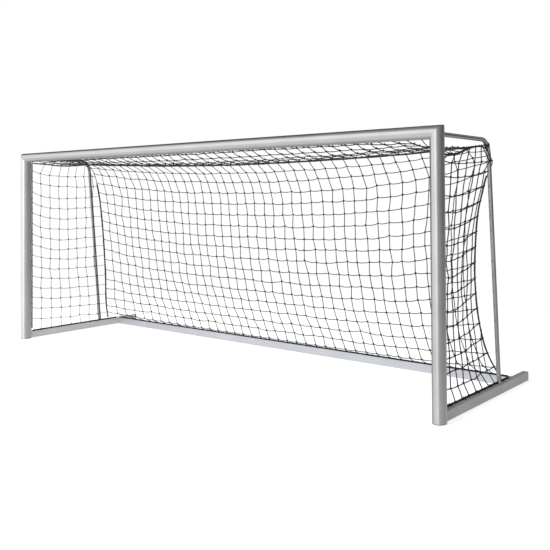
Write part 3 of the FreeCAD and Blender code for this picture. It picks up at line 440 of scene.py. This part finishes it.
class CordMesh:
    """Gathers tubes and knots into one mesh with UVs: U is round the cord, V is along it."""

    def __init__(self):
        self.points = []
        self.faces = []
        self.uvs = []

    def tube(self, line, radius, sides):
        """A capped tube along a line of points."""
        across, up = frames_along(line, reference_for(line))
        angles = np.linspace(0.0, 2 * math.pi, sides, endpoint=False)
        rings = (
            line[:, None]
            + radius * np.cos(angles)[None, :, None] * across[:, None]
            + radius * np.sin(angles)[None, :, None] * up[:, None]
        )
        first = len(self.points)
        self.points.extend(rings.reshape(-1, 3).tolist())
        along = distances(line)
        girth = 2 * math.pi * radius
        for k in range(len(line) - 1):
            for s in range(sides):
                t = (s + 1) % sides
                a = first + k * sides
                b = a + sides
                self.faces.append((a + s, a + t, b + t, b + s))
                left, right = girth * s / sides, girth * (s + 1) / sides
                low, high = along[k], along[k + 1]
                self.uvs.extend([(left, low), (right, low), (right, high), (left, high)])
        last = first + (len(line) - 1) * sides
        self.faces.append(tuple(first + s for s in reversed(range(sides))))
        self.faces.append(tuple(last + s for s in range(sides)))
        for at in (0.0, along[-1]):
            self.uvs.extend([(girth * s / sides, at) for s in range(sides)])

    def lump(self, place, size, turn):
        """A knot: an uneven ball as large as size along its own three axes."""
        points, faces = KNOT_FORM
        first = len(self.points)
        shaped = (points * size) @ turn.T + place
        self.points.extend(shaped.tolist())
        for face in faces:
            self.faces.append(tuple(first + i for i in face))
            self.uvs.extend([(points[i][0] * size[0] * 2, points[i][2] * size[2] * 2) for i in face])

    def object(self, name, material):
        """The gathered mesh as a smooth-shaded object."""
        mesh = bpy.data.meshes.new(name)
        mesh.from_pydata(self.points, [], self.faces)
        layer = mesh.uv_layers.new(name="UVMap")
        layer.data.foreach_set("uv", np.array(self.uvs, np.float32).ravel())
        mesh.polygons.foreach_set("use_smooth", [True] * len(mesh.polygons))
        mesh.materials.append(material)
        mesh.update()
        made = bpy.data.objects.new(name, mesh)
        bpy.context.scene.collection.objects.link(made)
        return made


def knot_form():
    """The shape of one netting knot: a ball pinched by two crossing turns of cord."""
    rings, sides = 5, 8
    depth, twist = 0.16, 2.2
    points = [(0.0, 0.0, -1.0)]
    for r in range(1, rings):
        lift = -math.cos(math.pi * r / rings)
        girth = math.sin(math.pi * r / rings)
        for s in range(sides):
            angle = 2 * math.pi * s / sides
            pinch = 1.0 - depth * math.cos(2 * angle + twist * lift) ** 2
            points.append((girth * pinch * math.cos(angle), girth * pinch * math.sin(angle), lift))
    points.append((0.0, 0.0, 1.0))
    top = len(points) - 1
    faces = []
    for s in range(sides):
        t = (s + 1) % sides
        faces.append((0, 1 + t, 1 + s))
        faces.append((top, top - sides + s, top - sides + t))
        for r in range(rings - 2):
            a = 1 + r * sides
            b = a + sides
            faces.append((a + s, a + t, b + t, b + s))
    return np.array(points), faces


KNOT_FORM = knot_form()


def spline_object(name, points, resolution):
    """A smooth NURBS curve whose control points are a cord's route."""
    curve = bpy.data.curves.new(name, "CURVE")
    curve.dimensions = "3D"
    curve.resolution_u = resolution
    spline = curve.splines.new("NURBS")
    spline.points.add(len(points) - 1)
    for point, place in zip(spline.points, points):
        point.co = (*place, 1.0)
    spline.order_u = 3
    spline.use_endpoint_u = True
    return bpy.data.objects.new(name, curve)


def spline_line(name, points, resolution, step):
    """Points read from a route's NURBS spline, no nearer to each other than step."""
    bare = spline_object(name + "_bare", points, resolution)
    mesh = bpy.data.meshes.new_from_object(bare)
    line = np.array([v.co for v in mesh.vertices], float)
    bpy.data.meshes.remove(mesh)
    bpy.data.curves.remove(bare.data)
    kept = [line[0]]
    for place in line[1:-1]:
        if np.linalg.norm(place - kept[-1]) >= step:
            kept.append(place)
    kept.append(line[-1])
    return np.array(kept)


def at_share(line, share):
    """The point at a share of a line's length."""
    along = distances(line)
    return np.array([np.interp(share * along[-1], along, line[:, k]) for k in range(3)])


def at_height(line, height):
    """The point where a line that runs downwards has this height."""
    return np.array([np.interp(-height, -line[:, 2], line[:, k]) for k in range(3)])


def at_depth(line, depth):
    """The point where a line that runs rearwards has this Y."""
    return np.array([np.interp(depth, line[:, 1], line[:, k]) for k in range(3)])


STRANDS_ACROSS = 2.1547  # the rope's radius over a strand's, where three strands touch
STRAND_SQUEEZE = 1.08  # the strands are pressed into each other


def laid_rope(name, line, diameter, lay_length, material):
    """A three-strand rope whose strands wind round the line."""
    made = CordMesh()
    across, up = frames_along(line, reference_for(line))
    turn = distances(line) / lay_length * 2 * math.pi
    strand = diameter / 2 / STRANDS_ACROSS
    offset = diameter / 2 - strand
    for start in range(3):
        angle = turn + start * 2 * math.pi / 3
        path = line + offset * (np.cos(angle)[:, None] * across + np.sin(angle)[:, None] * up)
        made.tube(path, strand * STRAND_SQUEEZE, CORD_SIDES)
    return made.object(name, material)


# ---- ropes ---------------------------------------------------------------------------------------
# each cord's darker colour is painted shade in its plait's grooves, and the lighter one is its ridges
ROPE_BLACK = cord_material(
    "border_rope_black", (0.0020, 0.0020, 0.0025), (0.0110, 0.0110, 0.0120), rough=0.55, plait=260.0
)
NET_BLACK = cord_material(
    "net_cord_black", (0.0025, 0.0025, 0.0030), (0.0120, 0.0120, 0.0130), rough=0.6, plait=420.0
)
TIE_BLACK = cord_material(
    "tie_cord_black", (0.0025, 0.0025, 0.0030), (0.0150, 0.0150, 0.0160), rough=0.55, plait=420.0
)

LINES = {}  # points read from each rope's curve


def add_rope(name):
    """One of the net's border ropes, laid from three strands in place of its CAD node."""
    route = world(ROUTES[name])
    steps = FRONT_ROUTE_STEPS if name == "net_front_rope" else ROUTE_STEPS
    line = spline_line(name, route, steps, ROPE_STEP)
    LINES[name] = line
    made = laid_rope(name + "_laid", line, ROPE, ROPE_LAY, ROPE_BLACK)
    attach(made, "root")
    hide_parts(name)


for rope_name in ROUTES:
    add_rope(rope_name)


# ---- the net ---------------------------------------------------------------------------------------
RANDOM = np.random.default_rng(11)
UPWARDS = np.array([0.0, 0.0, 1.0])
TO_THE_RIGHT = np.array([1.0, 0.0, 0.0])


def swell(share, power):
    """A curve over a length: 0 at both ends and 1 in the middle, fuller for a smaller power."""
    return math.sin(math.pi * share) ** power


def shaken(place, amount):
    """A knot's place with the small unevenness of a hand-hung net."""
    return place + RANDOM.normal(0.0, 1.0, 3) * np.array(amount)


def cord_between(start, end, droop, sideways):
    """A cord's line from knot to knot: it hangs a little, and bows a little sideways."""
    shares = np.linspace(0.0, 1.0, CORD_POINTS)
    line = start + (end - start) * shares[:, None]
    bow = 4 * shares * (1 - shares)
    line[:, 2] -= droop * bow
    return line + sideways * bow[:, None]


class Net:
    """One panel of knotted net, gathered into one mesh."""

    def __init__(self, name, cord=NET_CORD):
        self.name = name
        self.cord = cord
        self.mesh = CordMesh()

    def run(self, nodes, droop, wander):
        """A cord through a row or column of knots."""
        pieces = []
        for start, end in zip(nodes, nodes[1:]):
            flat = np.linalg.norm((end - start)[:2]) / max(np.linalg.norm(end - start), 1e-6)
            sideways = RANDOM.normal(0.0, wander, 3)
            sideways[2] *= BOW_RISE
            hang = droop * flat * (DROOP_LEAST + DROOP_SPREAD * RANDOM.random())
            pieces.append(cord_between(start, end, hang, sideways)[:-1])
        pieces.append(np.array([nodes[-1]]))
        self.mesh.tube(np.concatenate(pieces), self.cord / 2, CORD_SIDES)

    def knot(self, place):
        """A netting knot, slightly longer than it is wide, at a random tilt."""
        lean = Matrix.Rotation(RANDOM.uniform(-KNOT_TILT, KNOT_TILT), 3, "Y")
        tilt = lean @ Matrix.Rotation(RANDOM.uniform(0.0, math.pi), 3, "Z")
        size = KNOT * np.array(KNOT_SHAPE) * RANDOM.uniform(*KNOT_SPREAD)
        self.mesh.lump(place, size, np.array(tilt))

    def hitch(self, place, direction):
        """Two turns of net cord round a border rope."""
        direction = direction / np.linalg.norm(direction)
        side = np.cross(direction, np.eye(3)[int(np.abs(direction).argmin())])
        side /= np.linalg.norm(side)
        up = np.cross(direction, side)
        angles = np.linspace(0.0, HITCH_TURNS * 2 * math.pi, HITCH_POINTS)
        radius = ROPE / 2 + HITCH_CORD * HITCH_OUT
        advance = np.linspace(-0.5, 0.5, len(angles)) * HITCH_CORD * HITCH_PITCH
        line = (
            place
            + radius * (np.cos(angles)[:, None] * side + np.sin(angles)[:, None] * up)
            + advance[:, None] * direction
        )
        self.mesh.tube(line, HITCH_CORD / 2, CORD_SIDES)

    def edge_cord(self, line, offset):
        """The net's edge cord where it lies straight beside a border rope."""
        wave = np.sin(distances(line) * EDGE_CORD_WAVER_RATE)[::EDGE_CORD_THINNING, None]
        places = line[::EDGE_CORD_THINNING] + (1.0 + EDGE_CORD_WAVER * wave) * np.array(offset)
        self.mesh.tube(places, NET_CORD / 2, CORD_SIDES)

    def finish(self, nodes):
        """Makes the panel's object, which stands for the flat sheets of the CAD model."""
        made = self.mesh.object(self.name + "_knotted", NET_BLACK)
        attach(made, "root")
        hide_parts(*nodes)


def nearest(line, axis, value):
    """The point of a line whose coordinate along an axis is nearest to a value."""
    return line[int(np.abs(line[:, axis] - value).argmin())]


def along_rope(line, place):
    """A rope's direction near a place."""
    k = int(np.linalg.norm(line - place, axis=1).argmin())
    return line[min(k + 2, len(line) - 1)] - line[max(k - 2, 0)]


def top_row_place(share):
    """Where a share of the back's width hangs on the rear rope."""
    lag = TOP_ROW_LAG * swell(share, 0.3) if 0.0 < share < 1.0 else 0.0
    return at_share(LINES["net_rear_top_rope"], share - lag)


def back_place(j, share, left_end, right_end):
    """A knot's even place in row j of the back, drawn towards the two ends of its row."""
    depth, height = BACK_PROFILE[j]
    half_width = BACK_COLUMNS * MESH / 2
    plain = (share - 0.5) * BACK_COLUMNS * MESH
    pull_left = math.exp(-(plain + half_width) / CORNER_REACH)
    pull_right = math.exp((plain - half_width) / CORNER_REACH)
    rest = 1.0 - pull_left - pull_right
    lean = BACK_LEAN + BACK_LEAN_CHANGE * j / (len(BACK_PROFILE) - 1)
    x = plain + pull_left * (left_end[0] + half_width) + pull_right * (right_end[0] - half_width)
    x += lean * swell(share, 0.5)
    rope_sag = at_share(LINES["net_rear_top_rope"], share)[2] - BACK_PROFILE[0][1]
    z_middle = height + rope_sag * max(0.0, 1.0 - j / ROPE_SAG_ROWS)
    y = pull_left * left_end[1] + pull_right * right_end[1] + rest * (depth + POST_Y)
    z = pull_left * left_end[2] + pull_right * right_end[2] + rest * z_middle
    return np.array([x, y, z])


def back_nodes():
    """The back net's knots, row by row from the rear rope down, column by column from the left."""
    shares = [i / BACK_COLUMNS for i in range(BACK_COLUMNS + 1)]
    rows = [[top_row_place(share) for share in shares]]
    last = len(BACK_PROFILE) - 1
    for j in range(1, last + 1):
        left_end = at_height(LINES["net_left_corner_rope"], LEFT_ENDS[j])
        right_end = at_height(LINES["net_right_corner_rope"], RIGHT_ENDS[j])
        row = [left_end]
        for share in shares[1:-1]:
            place = back_place(j, share, left_end, right_end)
            row.append(shaken(place, BACK_UNEVEN) if j < last else place)
        row.append(right_end)
        rows.append(row)
    return rows


def build_back():
    """The back net, hung from the rear top rope and hitched to its other border ropes."""
    net = Net("back_net")
    rows = back_nodes()
    hem = LINES["net_rear_ground_rope"]
    for row in rows[1:]:
        net.run(row, BACK_DROOP, BOW)
        for place in row[1:-1]:
            net.knot(place)
        net.hitch(row[0], along_rope(LINES["net_left_corner_rope"], row[0]))
        net.hitch(row[-1], along_rope(LINES["net_right_corner_rope"], row[-1]))
    for i in range(1, BACK_COLUMNS):
        column = [row[i] for row in rows]
        foot = nearest(hem, 0, column[-1][0])
        net.run(column + [foot], 0.0, BOW)
        net.hitch(column[0], along_rope(LINES["net_rear_top_rope"], column[0]))
        net.hitch(foot, along_rope(hem, foot))
    net.edge_cord(LINES["net_rear_top_rope"], (0.0, 0.0, -EDGE_CORD_OUT))
    for side, corner in ((-1.0, LINES["net_left_corner_rope"]), (1.0, LINES["net_right_corner_rope"])):
        net.edge_cord(corner[corner[:, 2] < CORNER_CORD_TOP], (-side * EDGE_CORD_OUT, 0.0, 0.0))
    for way in (-1.0, 1.0):
        net.edge_cord(hem, (0.0, way * HEM_CORD_OUT, -HEM_CORD_DOWN))
    net.finish(["net_back"])


def roof_nodes(rear, sides):
    """The roof net's knots, row by row from the crossbar, column by column from the left."""
    half = ROOF_COLUMNS // 2
    columns = range(-half, half + 1)
    on_crossbar = [max(-GROOVE_X, min(GROOVE_X, i * MESH)) for i in columns]
    rows = [[np.array([x, GROOVE_V + POST_Y, GROOVE_Z]) for x in on_crossbar]]
    for k, (depth, share) in enumerate(ROOF_ROWS[1:], 1):
        edges = [at_depth(side, depth + POST_Y) for side in sides]
        row = []
        for i in columns:
            x = i * MESH - ROOF_DRIFT * k * swell((i + half) / ROOF_COLUMNS, 0.35)
            rope = nearest(rear, 0, x)
            if k == len(ROOF_ROWS) - 1:
                place = rope
            elif abs(i) == half:
                place = edges[0] if i < 0 else edges[1]
            else:
                z = GROOVE_Z + (rope[2] - GROOVE_Z) * share
                for edge in edges:
                    z += math.exp(-abs(x - edge[0]) / ROOF_EDGE_REACH) * (edge[2] - z)
                place = shaken(np.array([x, depth + POST_Y, z]), ROOF_UNEVEN)
            row.append(place)
        rows.append(row)
    return rows


def build_roof():
    """The roof net, from the crossbar's hooks to the rear top rope."""
    net = Net("roof_net")
    rear = LINES["net_rear_top_rope"]
    sides = (LINES["net_left_side_rope"], LINES["net_right_side_rope"])
    rows = roof_nodes(rear, sides)
    for row in rows[1:-1]:
        net.run(row, ROOF_DROOP, ROOF_BOW)
        for place in row[1:-1]:
            net.knot(place)
        net.hitch(row[0], along_rope(sides[0], row[0]))
        net.hitch(row[-1], along_rope(sides[1], row[-1]))
    for i in range(1, ROOF_COLUMNS):
        column = [row[i] for row in rows]
        net.run(column, ROOF_COLUMN_DROOP, ROOF_BOW)
        net.hitch(column[0], TO_THE_RIGHT)
        net.hitch(column[-1] + ROOF_HITCH_SHIFT * TO_THE_RIGHT, along_rope(rear, column[-1]))
    net.edge_cord(rear, (0.0, -EDGE_CORD_OUT, 0.0))
    net.edge_cord(sides[0], (EDGE_CORD_OUT, 0.0, 0.0))
    net.edge_cord(sides[1], (-EDGE_CORD_OUT, 0.0, 0.0))
    net.finish(["net_top"])


def side_row(side, r, start, finish, sag_share):
    """A side net's knots in row r, which sags between its hook and the corner rope."""
    shares, sags = zip(*SIDE_SAG)
    change, fading_rows = LOW_PITCH[side]
    pitch = SIDE_PITCH + change * max(0.0, 1.0 - r / fading_rows)
    span = finish[1] - start[1]
    row = [start]
    depth = start[1] + pitch * SIDE_FIRST
    while depth < finish[1] - SIDE_LAST_GAP:
        share = (depth - start[1]) / span
        place = start + (finish - start) * share
        place[2] -= float(np.interp(share, shares, sags)) * sag_share
        row.append(shaken(place, SIDE_UNEVEN))
        depth += pitch
    row.append(finish)
    return row


def knots_in_column(grid, c):
    """The knots in column c, upwards, as far as the rows that reach it go on."""
    column = []
    for row in grid:
        if c < len(row) - 1:
            column.append(row[c])
        elif column:
            break
    return column


def build_side(side, name, cord, hooks, ends, row_sags, nodes):
    """A side net: rows from the post's hooks to the corner rope, columns from side rope to hem."""
    net = Net(name, cord)
    word = "left" if side < 0 else "right"
    corner = LINES[f"net_{word}_corner_rope"]
    top = LINES[f"net_{word}_side_rope"]
    hem = LINES[f"net_{word}_ground_rope"]
    post = np.array([side * GROOVE_X, GROOVE_V + POST_Y, 0.0])
    grid = []
    for r, (hook, end) in enumerate(zip(hooks, ends)):
        grid.append(side_row(side, r, post + hook * UPWARDS, at_height(corner, end), row_sags[r]))
    for row in grid:
        net.run(row, SIDE_DROOP, BOW)
        for place in row[1:-1]:
            net.knot(place)
        net.hitch(row[0], UPWARDS)
        net.hitch(row[-1], along_rope(corner, row[-1]))
    for c in range(1, max(len(row) for row in grid) - 1):
        knots = knots_in_column(grid, c)
        foot = nearest(hem, 1, knots[0][1] + SIDE_FOOT_LAG + SIDE_FOOT_SPREAD * c)
        if len(knots) == len(hooks):
            head_rope = top
            head = nearest(top, 1, min(knots[-1][1] + SIDE_HEAD_RISE, top[-1][1] - SIDE_HEAD_LIMIT))
        else:
            head_rope = corner
            head = at_height(corner, knots[-1][2] + SIDE_HEAD_RISE)
        net.hitch(foot, along_rope(hem, foot))
        net.hitch(head, along_rope(head_rope, head))
        net.run([foot, *knots, head], 0.0, BOW)
    net.edge_cord(top, (0.0, 0.0, -EDGE_CORD_OUT))
    net.edge_cord(corner[corner[:, 2] < CORNER_CORD_TOP], (0.0, -EDGE_CORD_OUT, 0.0))
    for way in (-1.0, 1.0):
        net.edge_cord(hem, (way * HEM_CORD_OUT, 0.0, -HEM_CORD_DOWN))
    front = LINES["net_front_rope"]
    on_post = front[front[:, 0] * side > GROOVE_X - ON_POST]
    net.edge_cord(on_post, (side * EDGE_CORD_OUT, 0.0, 0.0))
    net.finish(nodes)


build_back()
build_roof()
build_side(
    -1, "left_side_net", FAR_NET_CORD, LEFT_HOOKS, LEFT_SIDE_ROW_ENDS, LEFT_ROW_SAGS, ["net_left_side"]
)
build_side(
    1, "right_side_net", NEAR_NET_CORD, RIGHT_HOOKS, RIGHT_SIDE_ROW_ENDS, RIGHT_ROW_SAGS,
    ["net_right_side"],
)


# ---- lashings on the hoops -----------------------------------------------------------------------
def hoop_bend_line(side):
    """Points of the hoop's bent axis where its lashing is."""
    centre = Vector((side * HOOP_X, HOOP_BEND_V + POST_Y, HOOP_BEND_Z))
    line = []
    for angle in np.radians(np.linspace(*LASHING_ARC, LASHING_POINTS)):
        line.append(centre + HOOP_BEND * Vector((0.0, math.sin(angle), math.cos(angle))))
    return np.array(line)


def add_lashing(side, word):
    """A few open turns of cord round a hoop's tube, and one turn back across them."""
    made = CordMesh()
    centre_line = hoop_bend_line(side)
    across, up = frames_along(centre_line, TO_THE_RIGHT)
    shares = np.linspace(0.0, 1.0, LASHING_POINTS)
    for turns, lift in ((LASHING_TURNS, 0.0), (-1.0, LASHING * LASHING_LIFT)):
        angle = shares * 2 * math.pi * turns + LASHING_START
        path = centre_line + (HOOP_TUBE + LASHING / 2 + lift) * (
            np.cos(angle)[:, None] * across + np.sin(angle)[:, None] * up
        )
        made.tube(path, LASHING / 2, LASHING_SIDES)
    piece = made.object(word + "_lashing", TIE_BLACK)
    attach(piece, "root")
    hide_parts(word + "_hoop_lashing")


for side, word in ((-1, "left"), (1, "right")):
    add_lashing(side, word)


# ---- materials of the CAD parts ---------------------------------------------------------------------
# the posts, crossbar and ground bars are one anodised aluminium. The copies below differ in tone and
# metallic value part by part, for how light falls on each. Painted light: the left post's copy is
# lighter and less metallic than the right post's
LEFT_POST_METAL_PAINTED_LIGHT = aluminium(
    "left_post_aluminium_painted_light", (0.71, 0.72, 0.735), (0.78, 0.79, 0.805), rough=0.32, along=2, metallic=0.85
)
# painted shade: the right post's copy is darker than the left post's
RIGHT_POST_METAL_PAINTED_SHADE = aluminium(
    "right_post_aluminium_painted_shade", (0.56, 0.563, 0.56), (0.62, 0.623, 0.62), rough=0.32, along=2
)
# painted shade: the crossbar's copy is darker than the left post's
CROSSBAR_METAL_PAINTED_SHADE = aluminium(
    "crossbar_aluminium_painted_shade", (0.58, 0.585, 0.59), (0.65, 0.655, 0.66), rough=0.25, along=0
)
# painted light: the left bar's copy is the lightest of the ground bars'
LEFT_BAR_METAL_PAINTED_LIGHT = aluminium(
    "left_bar_aluminium_painted_light", (0.71, 0.72, 0.74), (0.79, 0.80, 0.82), rough=0.45, along=1, metallic=0.45
)
# painted shade: the right bar's copy is the darkest and the least metallic of the ground bars'
RIGHT_BAR_METAL_PAINTED_SHADE = aluminium(
    "right_bar_aluminium_painted_shade", (0.38, 0.375, 0.365), (0.45, 0.445, 0.435), rough=0.45, along=1,
    metallic=0.10,
)
# painted shade: the rear bar's copy is darker than the left bar's
REAR_BAR_METAL_PAINTED_SHADE = aluminium(
    "rear_bar_aluminium_painted_shade", (0.54, 0.56, 0.59), (0.61, 0.63, 0.66), rough=0.46, along=0, metallic=0.5
)
HOOP_METAL = aluminium(
    "hoop_aluminium", (0.32, 0.335, 0.35), (0.38, 0.395, 0.41), rough=0.12, along=2
)
CASTING_METAL = cast_metal("cast_aluminium")
BOLT_METAL = fastener_metal("zinc_plated_steel", (0.42, 0.42, 0.42), rough=0.32)
RIVET_METAL = fastener_metal("rivet_metal", (0.45, 0.45, 0.46), rough=0.35)
CAP_PLASTIC = plastic(
    "cap_plastic", (0.040, 0.042, 0.046), (0.058, 0.060, 0.064), rough=0.5, grain_scale=1400.0
)
HOOK_PLASTIC = plastic(
    "hook_plastic", (0.012, 0.009, 0.007), (0.024, 0.018, 0.014), rough=0.45, grain_scale=1600.0
)

# the end of a node's name and its material; the last match counts
NODE_MATERIALS = [
    ("left_post", LEFT_POST_METAL_PAINTED_LIGHT),
    ("right_post", RIGHT_POST_METAL_PAINTED_SHADE),
    ("crossbar", CROSSBAR_METAL_PAINTED_SHADE),
    ("left_ground_bar", LEFT_BAR_METAL_PAINTED_LIGHT),
    ("right_ground_bar", RIGHT_BAR_METAL_PAINTED_SHADE),
    ("rear_ground_bar", REAR_BAR_METAL_PAINTED_SHADE),
    ("_net_hoop", HOOP_METAL),
    ("_spigot", HOOP_METAL),
    ("_casting", CASTING_METAL),
    ("_bolts", BOLT_METAL),
    ("_screws", BOLT_METAL),
    ("_rivets", RIVET_METAL),
    ("_foot_cap", CAP_PLASTIC),
    ("_end_cap", CAP_PLASTIC),
    ("_hooks", HOOK_PLASTIC),
]


def paint_cad_nodes():
    """Gives every CAD node that shows its material."""
    for name, node in frame["nodes"].items():
        if node.hide_render:
            continue
        chosen = [material for ending, material in NODE_MATERIALS if name.endswith(ending)][-1]
        node.data.materials.clear()
        node.data.materials.append(chosen)


paint_cad_nodes()


# ---- floor, light and camera ----------------------------------------------------------------------
def add_floor():
    """The floor, just below the goal's feet."""
    mesh = bpy.data.meshes.new("floor")
    corners = [(x * FLOOR_REACH, y * FLOOR_REACH, 0.0) for x, y in ((-1, -1), (1, -1), (1, 1), (-1, 1))]
    mesh.from_pydata(corners, [], [(0, 1, 2, 3)])
    mesh.materials.append(floor_material())
    floor = bpy.data.objects.new("floor", mesh)
    floor.location.z = -FLOOR_GAP
    floor.visible_glossy = False
    bpy.context.scene.collection.objects.link(floor)


def add_softbox(name, place, target, size, power):
    """A rectangular soft light that the camera doesn't see."""
    light = bpy.data.lights.new(name, "AREA")
    light.shape = "RECTANGLE"
    light.size, light.size_y = size
    light.energy = power
    lamp = bpy.data.objects.new(name, light)
    lamp.location = place
    aim = Vector(target) - Vector(place)
    lamp.rotation_mode = "QUATERNION"
    lamp.rotation_quaternion = aim.to_track_quat("-Z", "Y")
    lamp.visible_camera = False
    lamp.visible_glossy = False
    bpy.context.scene.collection.objects.link(lamp)


def part_along(nodes, links, place, direction):
    """How far a direction of view points along another direction."""
    product = nodes.new("ShaderNodeVectorMath")
    product.operation = "DOT_PRODUCT"
    product.inputs[1].default_value = direction
    links.new(place.outputs["Generated"], product.inputs[0])
    return product.outputs["Value"]


def light_around(nodes, links, place):
    """STUDIO's light, by the angle round the vertical."""
    cosine, sine = math.cos(STUDIO_AZIMUTH), math.sin(STUDIO_AZIMUTH)
    turn = nodes.new("ShaderNodeMath")
    turn.operation = "ARCTAN2"
    links.new(part_along(nodes, links, place, (-sine, cosine, 0.0)), turn.inputs[0])
    links.new(part_along(nodes, links, place, (cosine, sine, 0.0)), turn.inputs[1])
    ramp = nodes.new("ShaderNodeValToRGB")
    full_circle = spread(nodes, links, turn.outputs["Value"], 0.0, 1.0, -math.pi, math.pi)
    links.new(full_circle, ramp.inputs["Fac"])
    stops = ramp.color_ramp.elements
    while len(stops) < len(STUDIO):
        stops.new(0.5)
    for stop, (angle, light) in zip(stops, STUDIO):
        stop.position = (angle + 180) / 360
        shade = light / STUDIO_STRENGTH
        stop.color = (shade, shade, shade, 1.0)
    return ramp.outputs["Color"]


def light_with_levels(nodes, links, place, glow):
    """The same light with the floor's and the ceiling's blended in, by height."""
    height = part_along(nodes, links, place, (0.0, 0.0, 1.0))
    for start, end, light, most in LEVELS:
        share = spread(nodes, links, height, 0.0, most, start, end)
        mix = nodes.new("ShaderNodeMix")
        mix.data_type = "RGBA"
        links.new(share, mix.inputs["Factor"])
        links.new(glow, mix.inputs["A"])
        mix.inputs["B"].default_value = (*[light / STUDIO_STRENGTH] * 3, 1.0)
        glow = mix.outputs["Result"]
    return glow


def add_world():
    """A studio: the camera sees a white backdrop, and the metals see the light of STUDIO."""
    studio = bpy.data.worlds.new("studio")
    studio.use_nodes = True
    nodes, links = studio.node_tree.nodes, studio.node_tree.links
    place = nodes.new("ShaderNodeTexCoord")
    glow = light_with_levels(nodes, links, place, light_around(nodes, links, place))
    surroundings = nodes["Background"]
    surroundings.inputs["Strength"].default_value = STUDIO_STRENGTH
    links.new(glow, surroundings.inputs["Color"])
    backdrop = nodes.new("ShaderNodeBackground")
    backdrop.inputs["Color"].default_value = (1.0, 1.0, 1.0, 1.0)
    rays = nodes.new("ShaderNodeLightPath")
    choice = nodes.new("ShaderNodeMixShader")
    links.new(rays.outputs["Is Camera Ray"], choice.inputs["Fac"])
    links.new(surroundings.outputs["Background"], choice.inputs[1])
    links.new(backdrop.outputs["Background"], choice.inputs[2])
    links.new(choice.outputs["Shader"], nodes["World Output"].inputs["Surface"])
    bpy.context.scene.world = studio


def add_camera():
    """The camera, almost level, to the right of the goal's front."""
    level = math.cos(PITCH)
    forward = Vector((-math.sin(YAW) * level, math.cos(YAW) * level, math.sin(PITCH)))
    right = Vector((math.cos(YAW), math.sin(YAW), 0.0))
    up = right.cross(forward)
    tilted_right = math.cos(ROLL) * right + math.sin(ROLL) * up
    tilted_up = -math.sin(ROLL) * right + math.cos(ROLL) * up
    camera = bpy.data.cameras.new("camera")
    camera.sensor_width = SENSOR
    camera.lens = LENS
    camera.shift_x = SHIFT_X
    camera.shift_y = SHIFT_Y
    eye = bpy.data.objects.new("camera", camera)
    turn = Matrix((tilted_right, tilted_up, -forward)).transposed()
    eye.matrix_world = Matrix.Translation(EYE) @ turn.to_4x4()
    bpy.context.scene.collection.objects.link(eye)
    bpy.context.scene.camera = eye


add_floor()
add_world()
add_softbox(
    "top_box", place=(-1.0, -1.5, 6.0), target=(0.0, 0.0, 0.5), size=(9.0, 5.0), power=270.0
)
add_camera()
bpy.context.scene.view_settings.view_transform = "Standard"
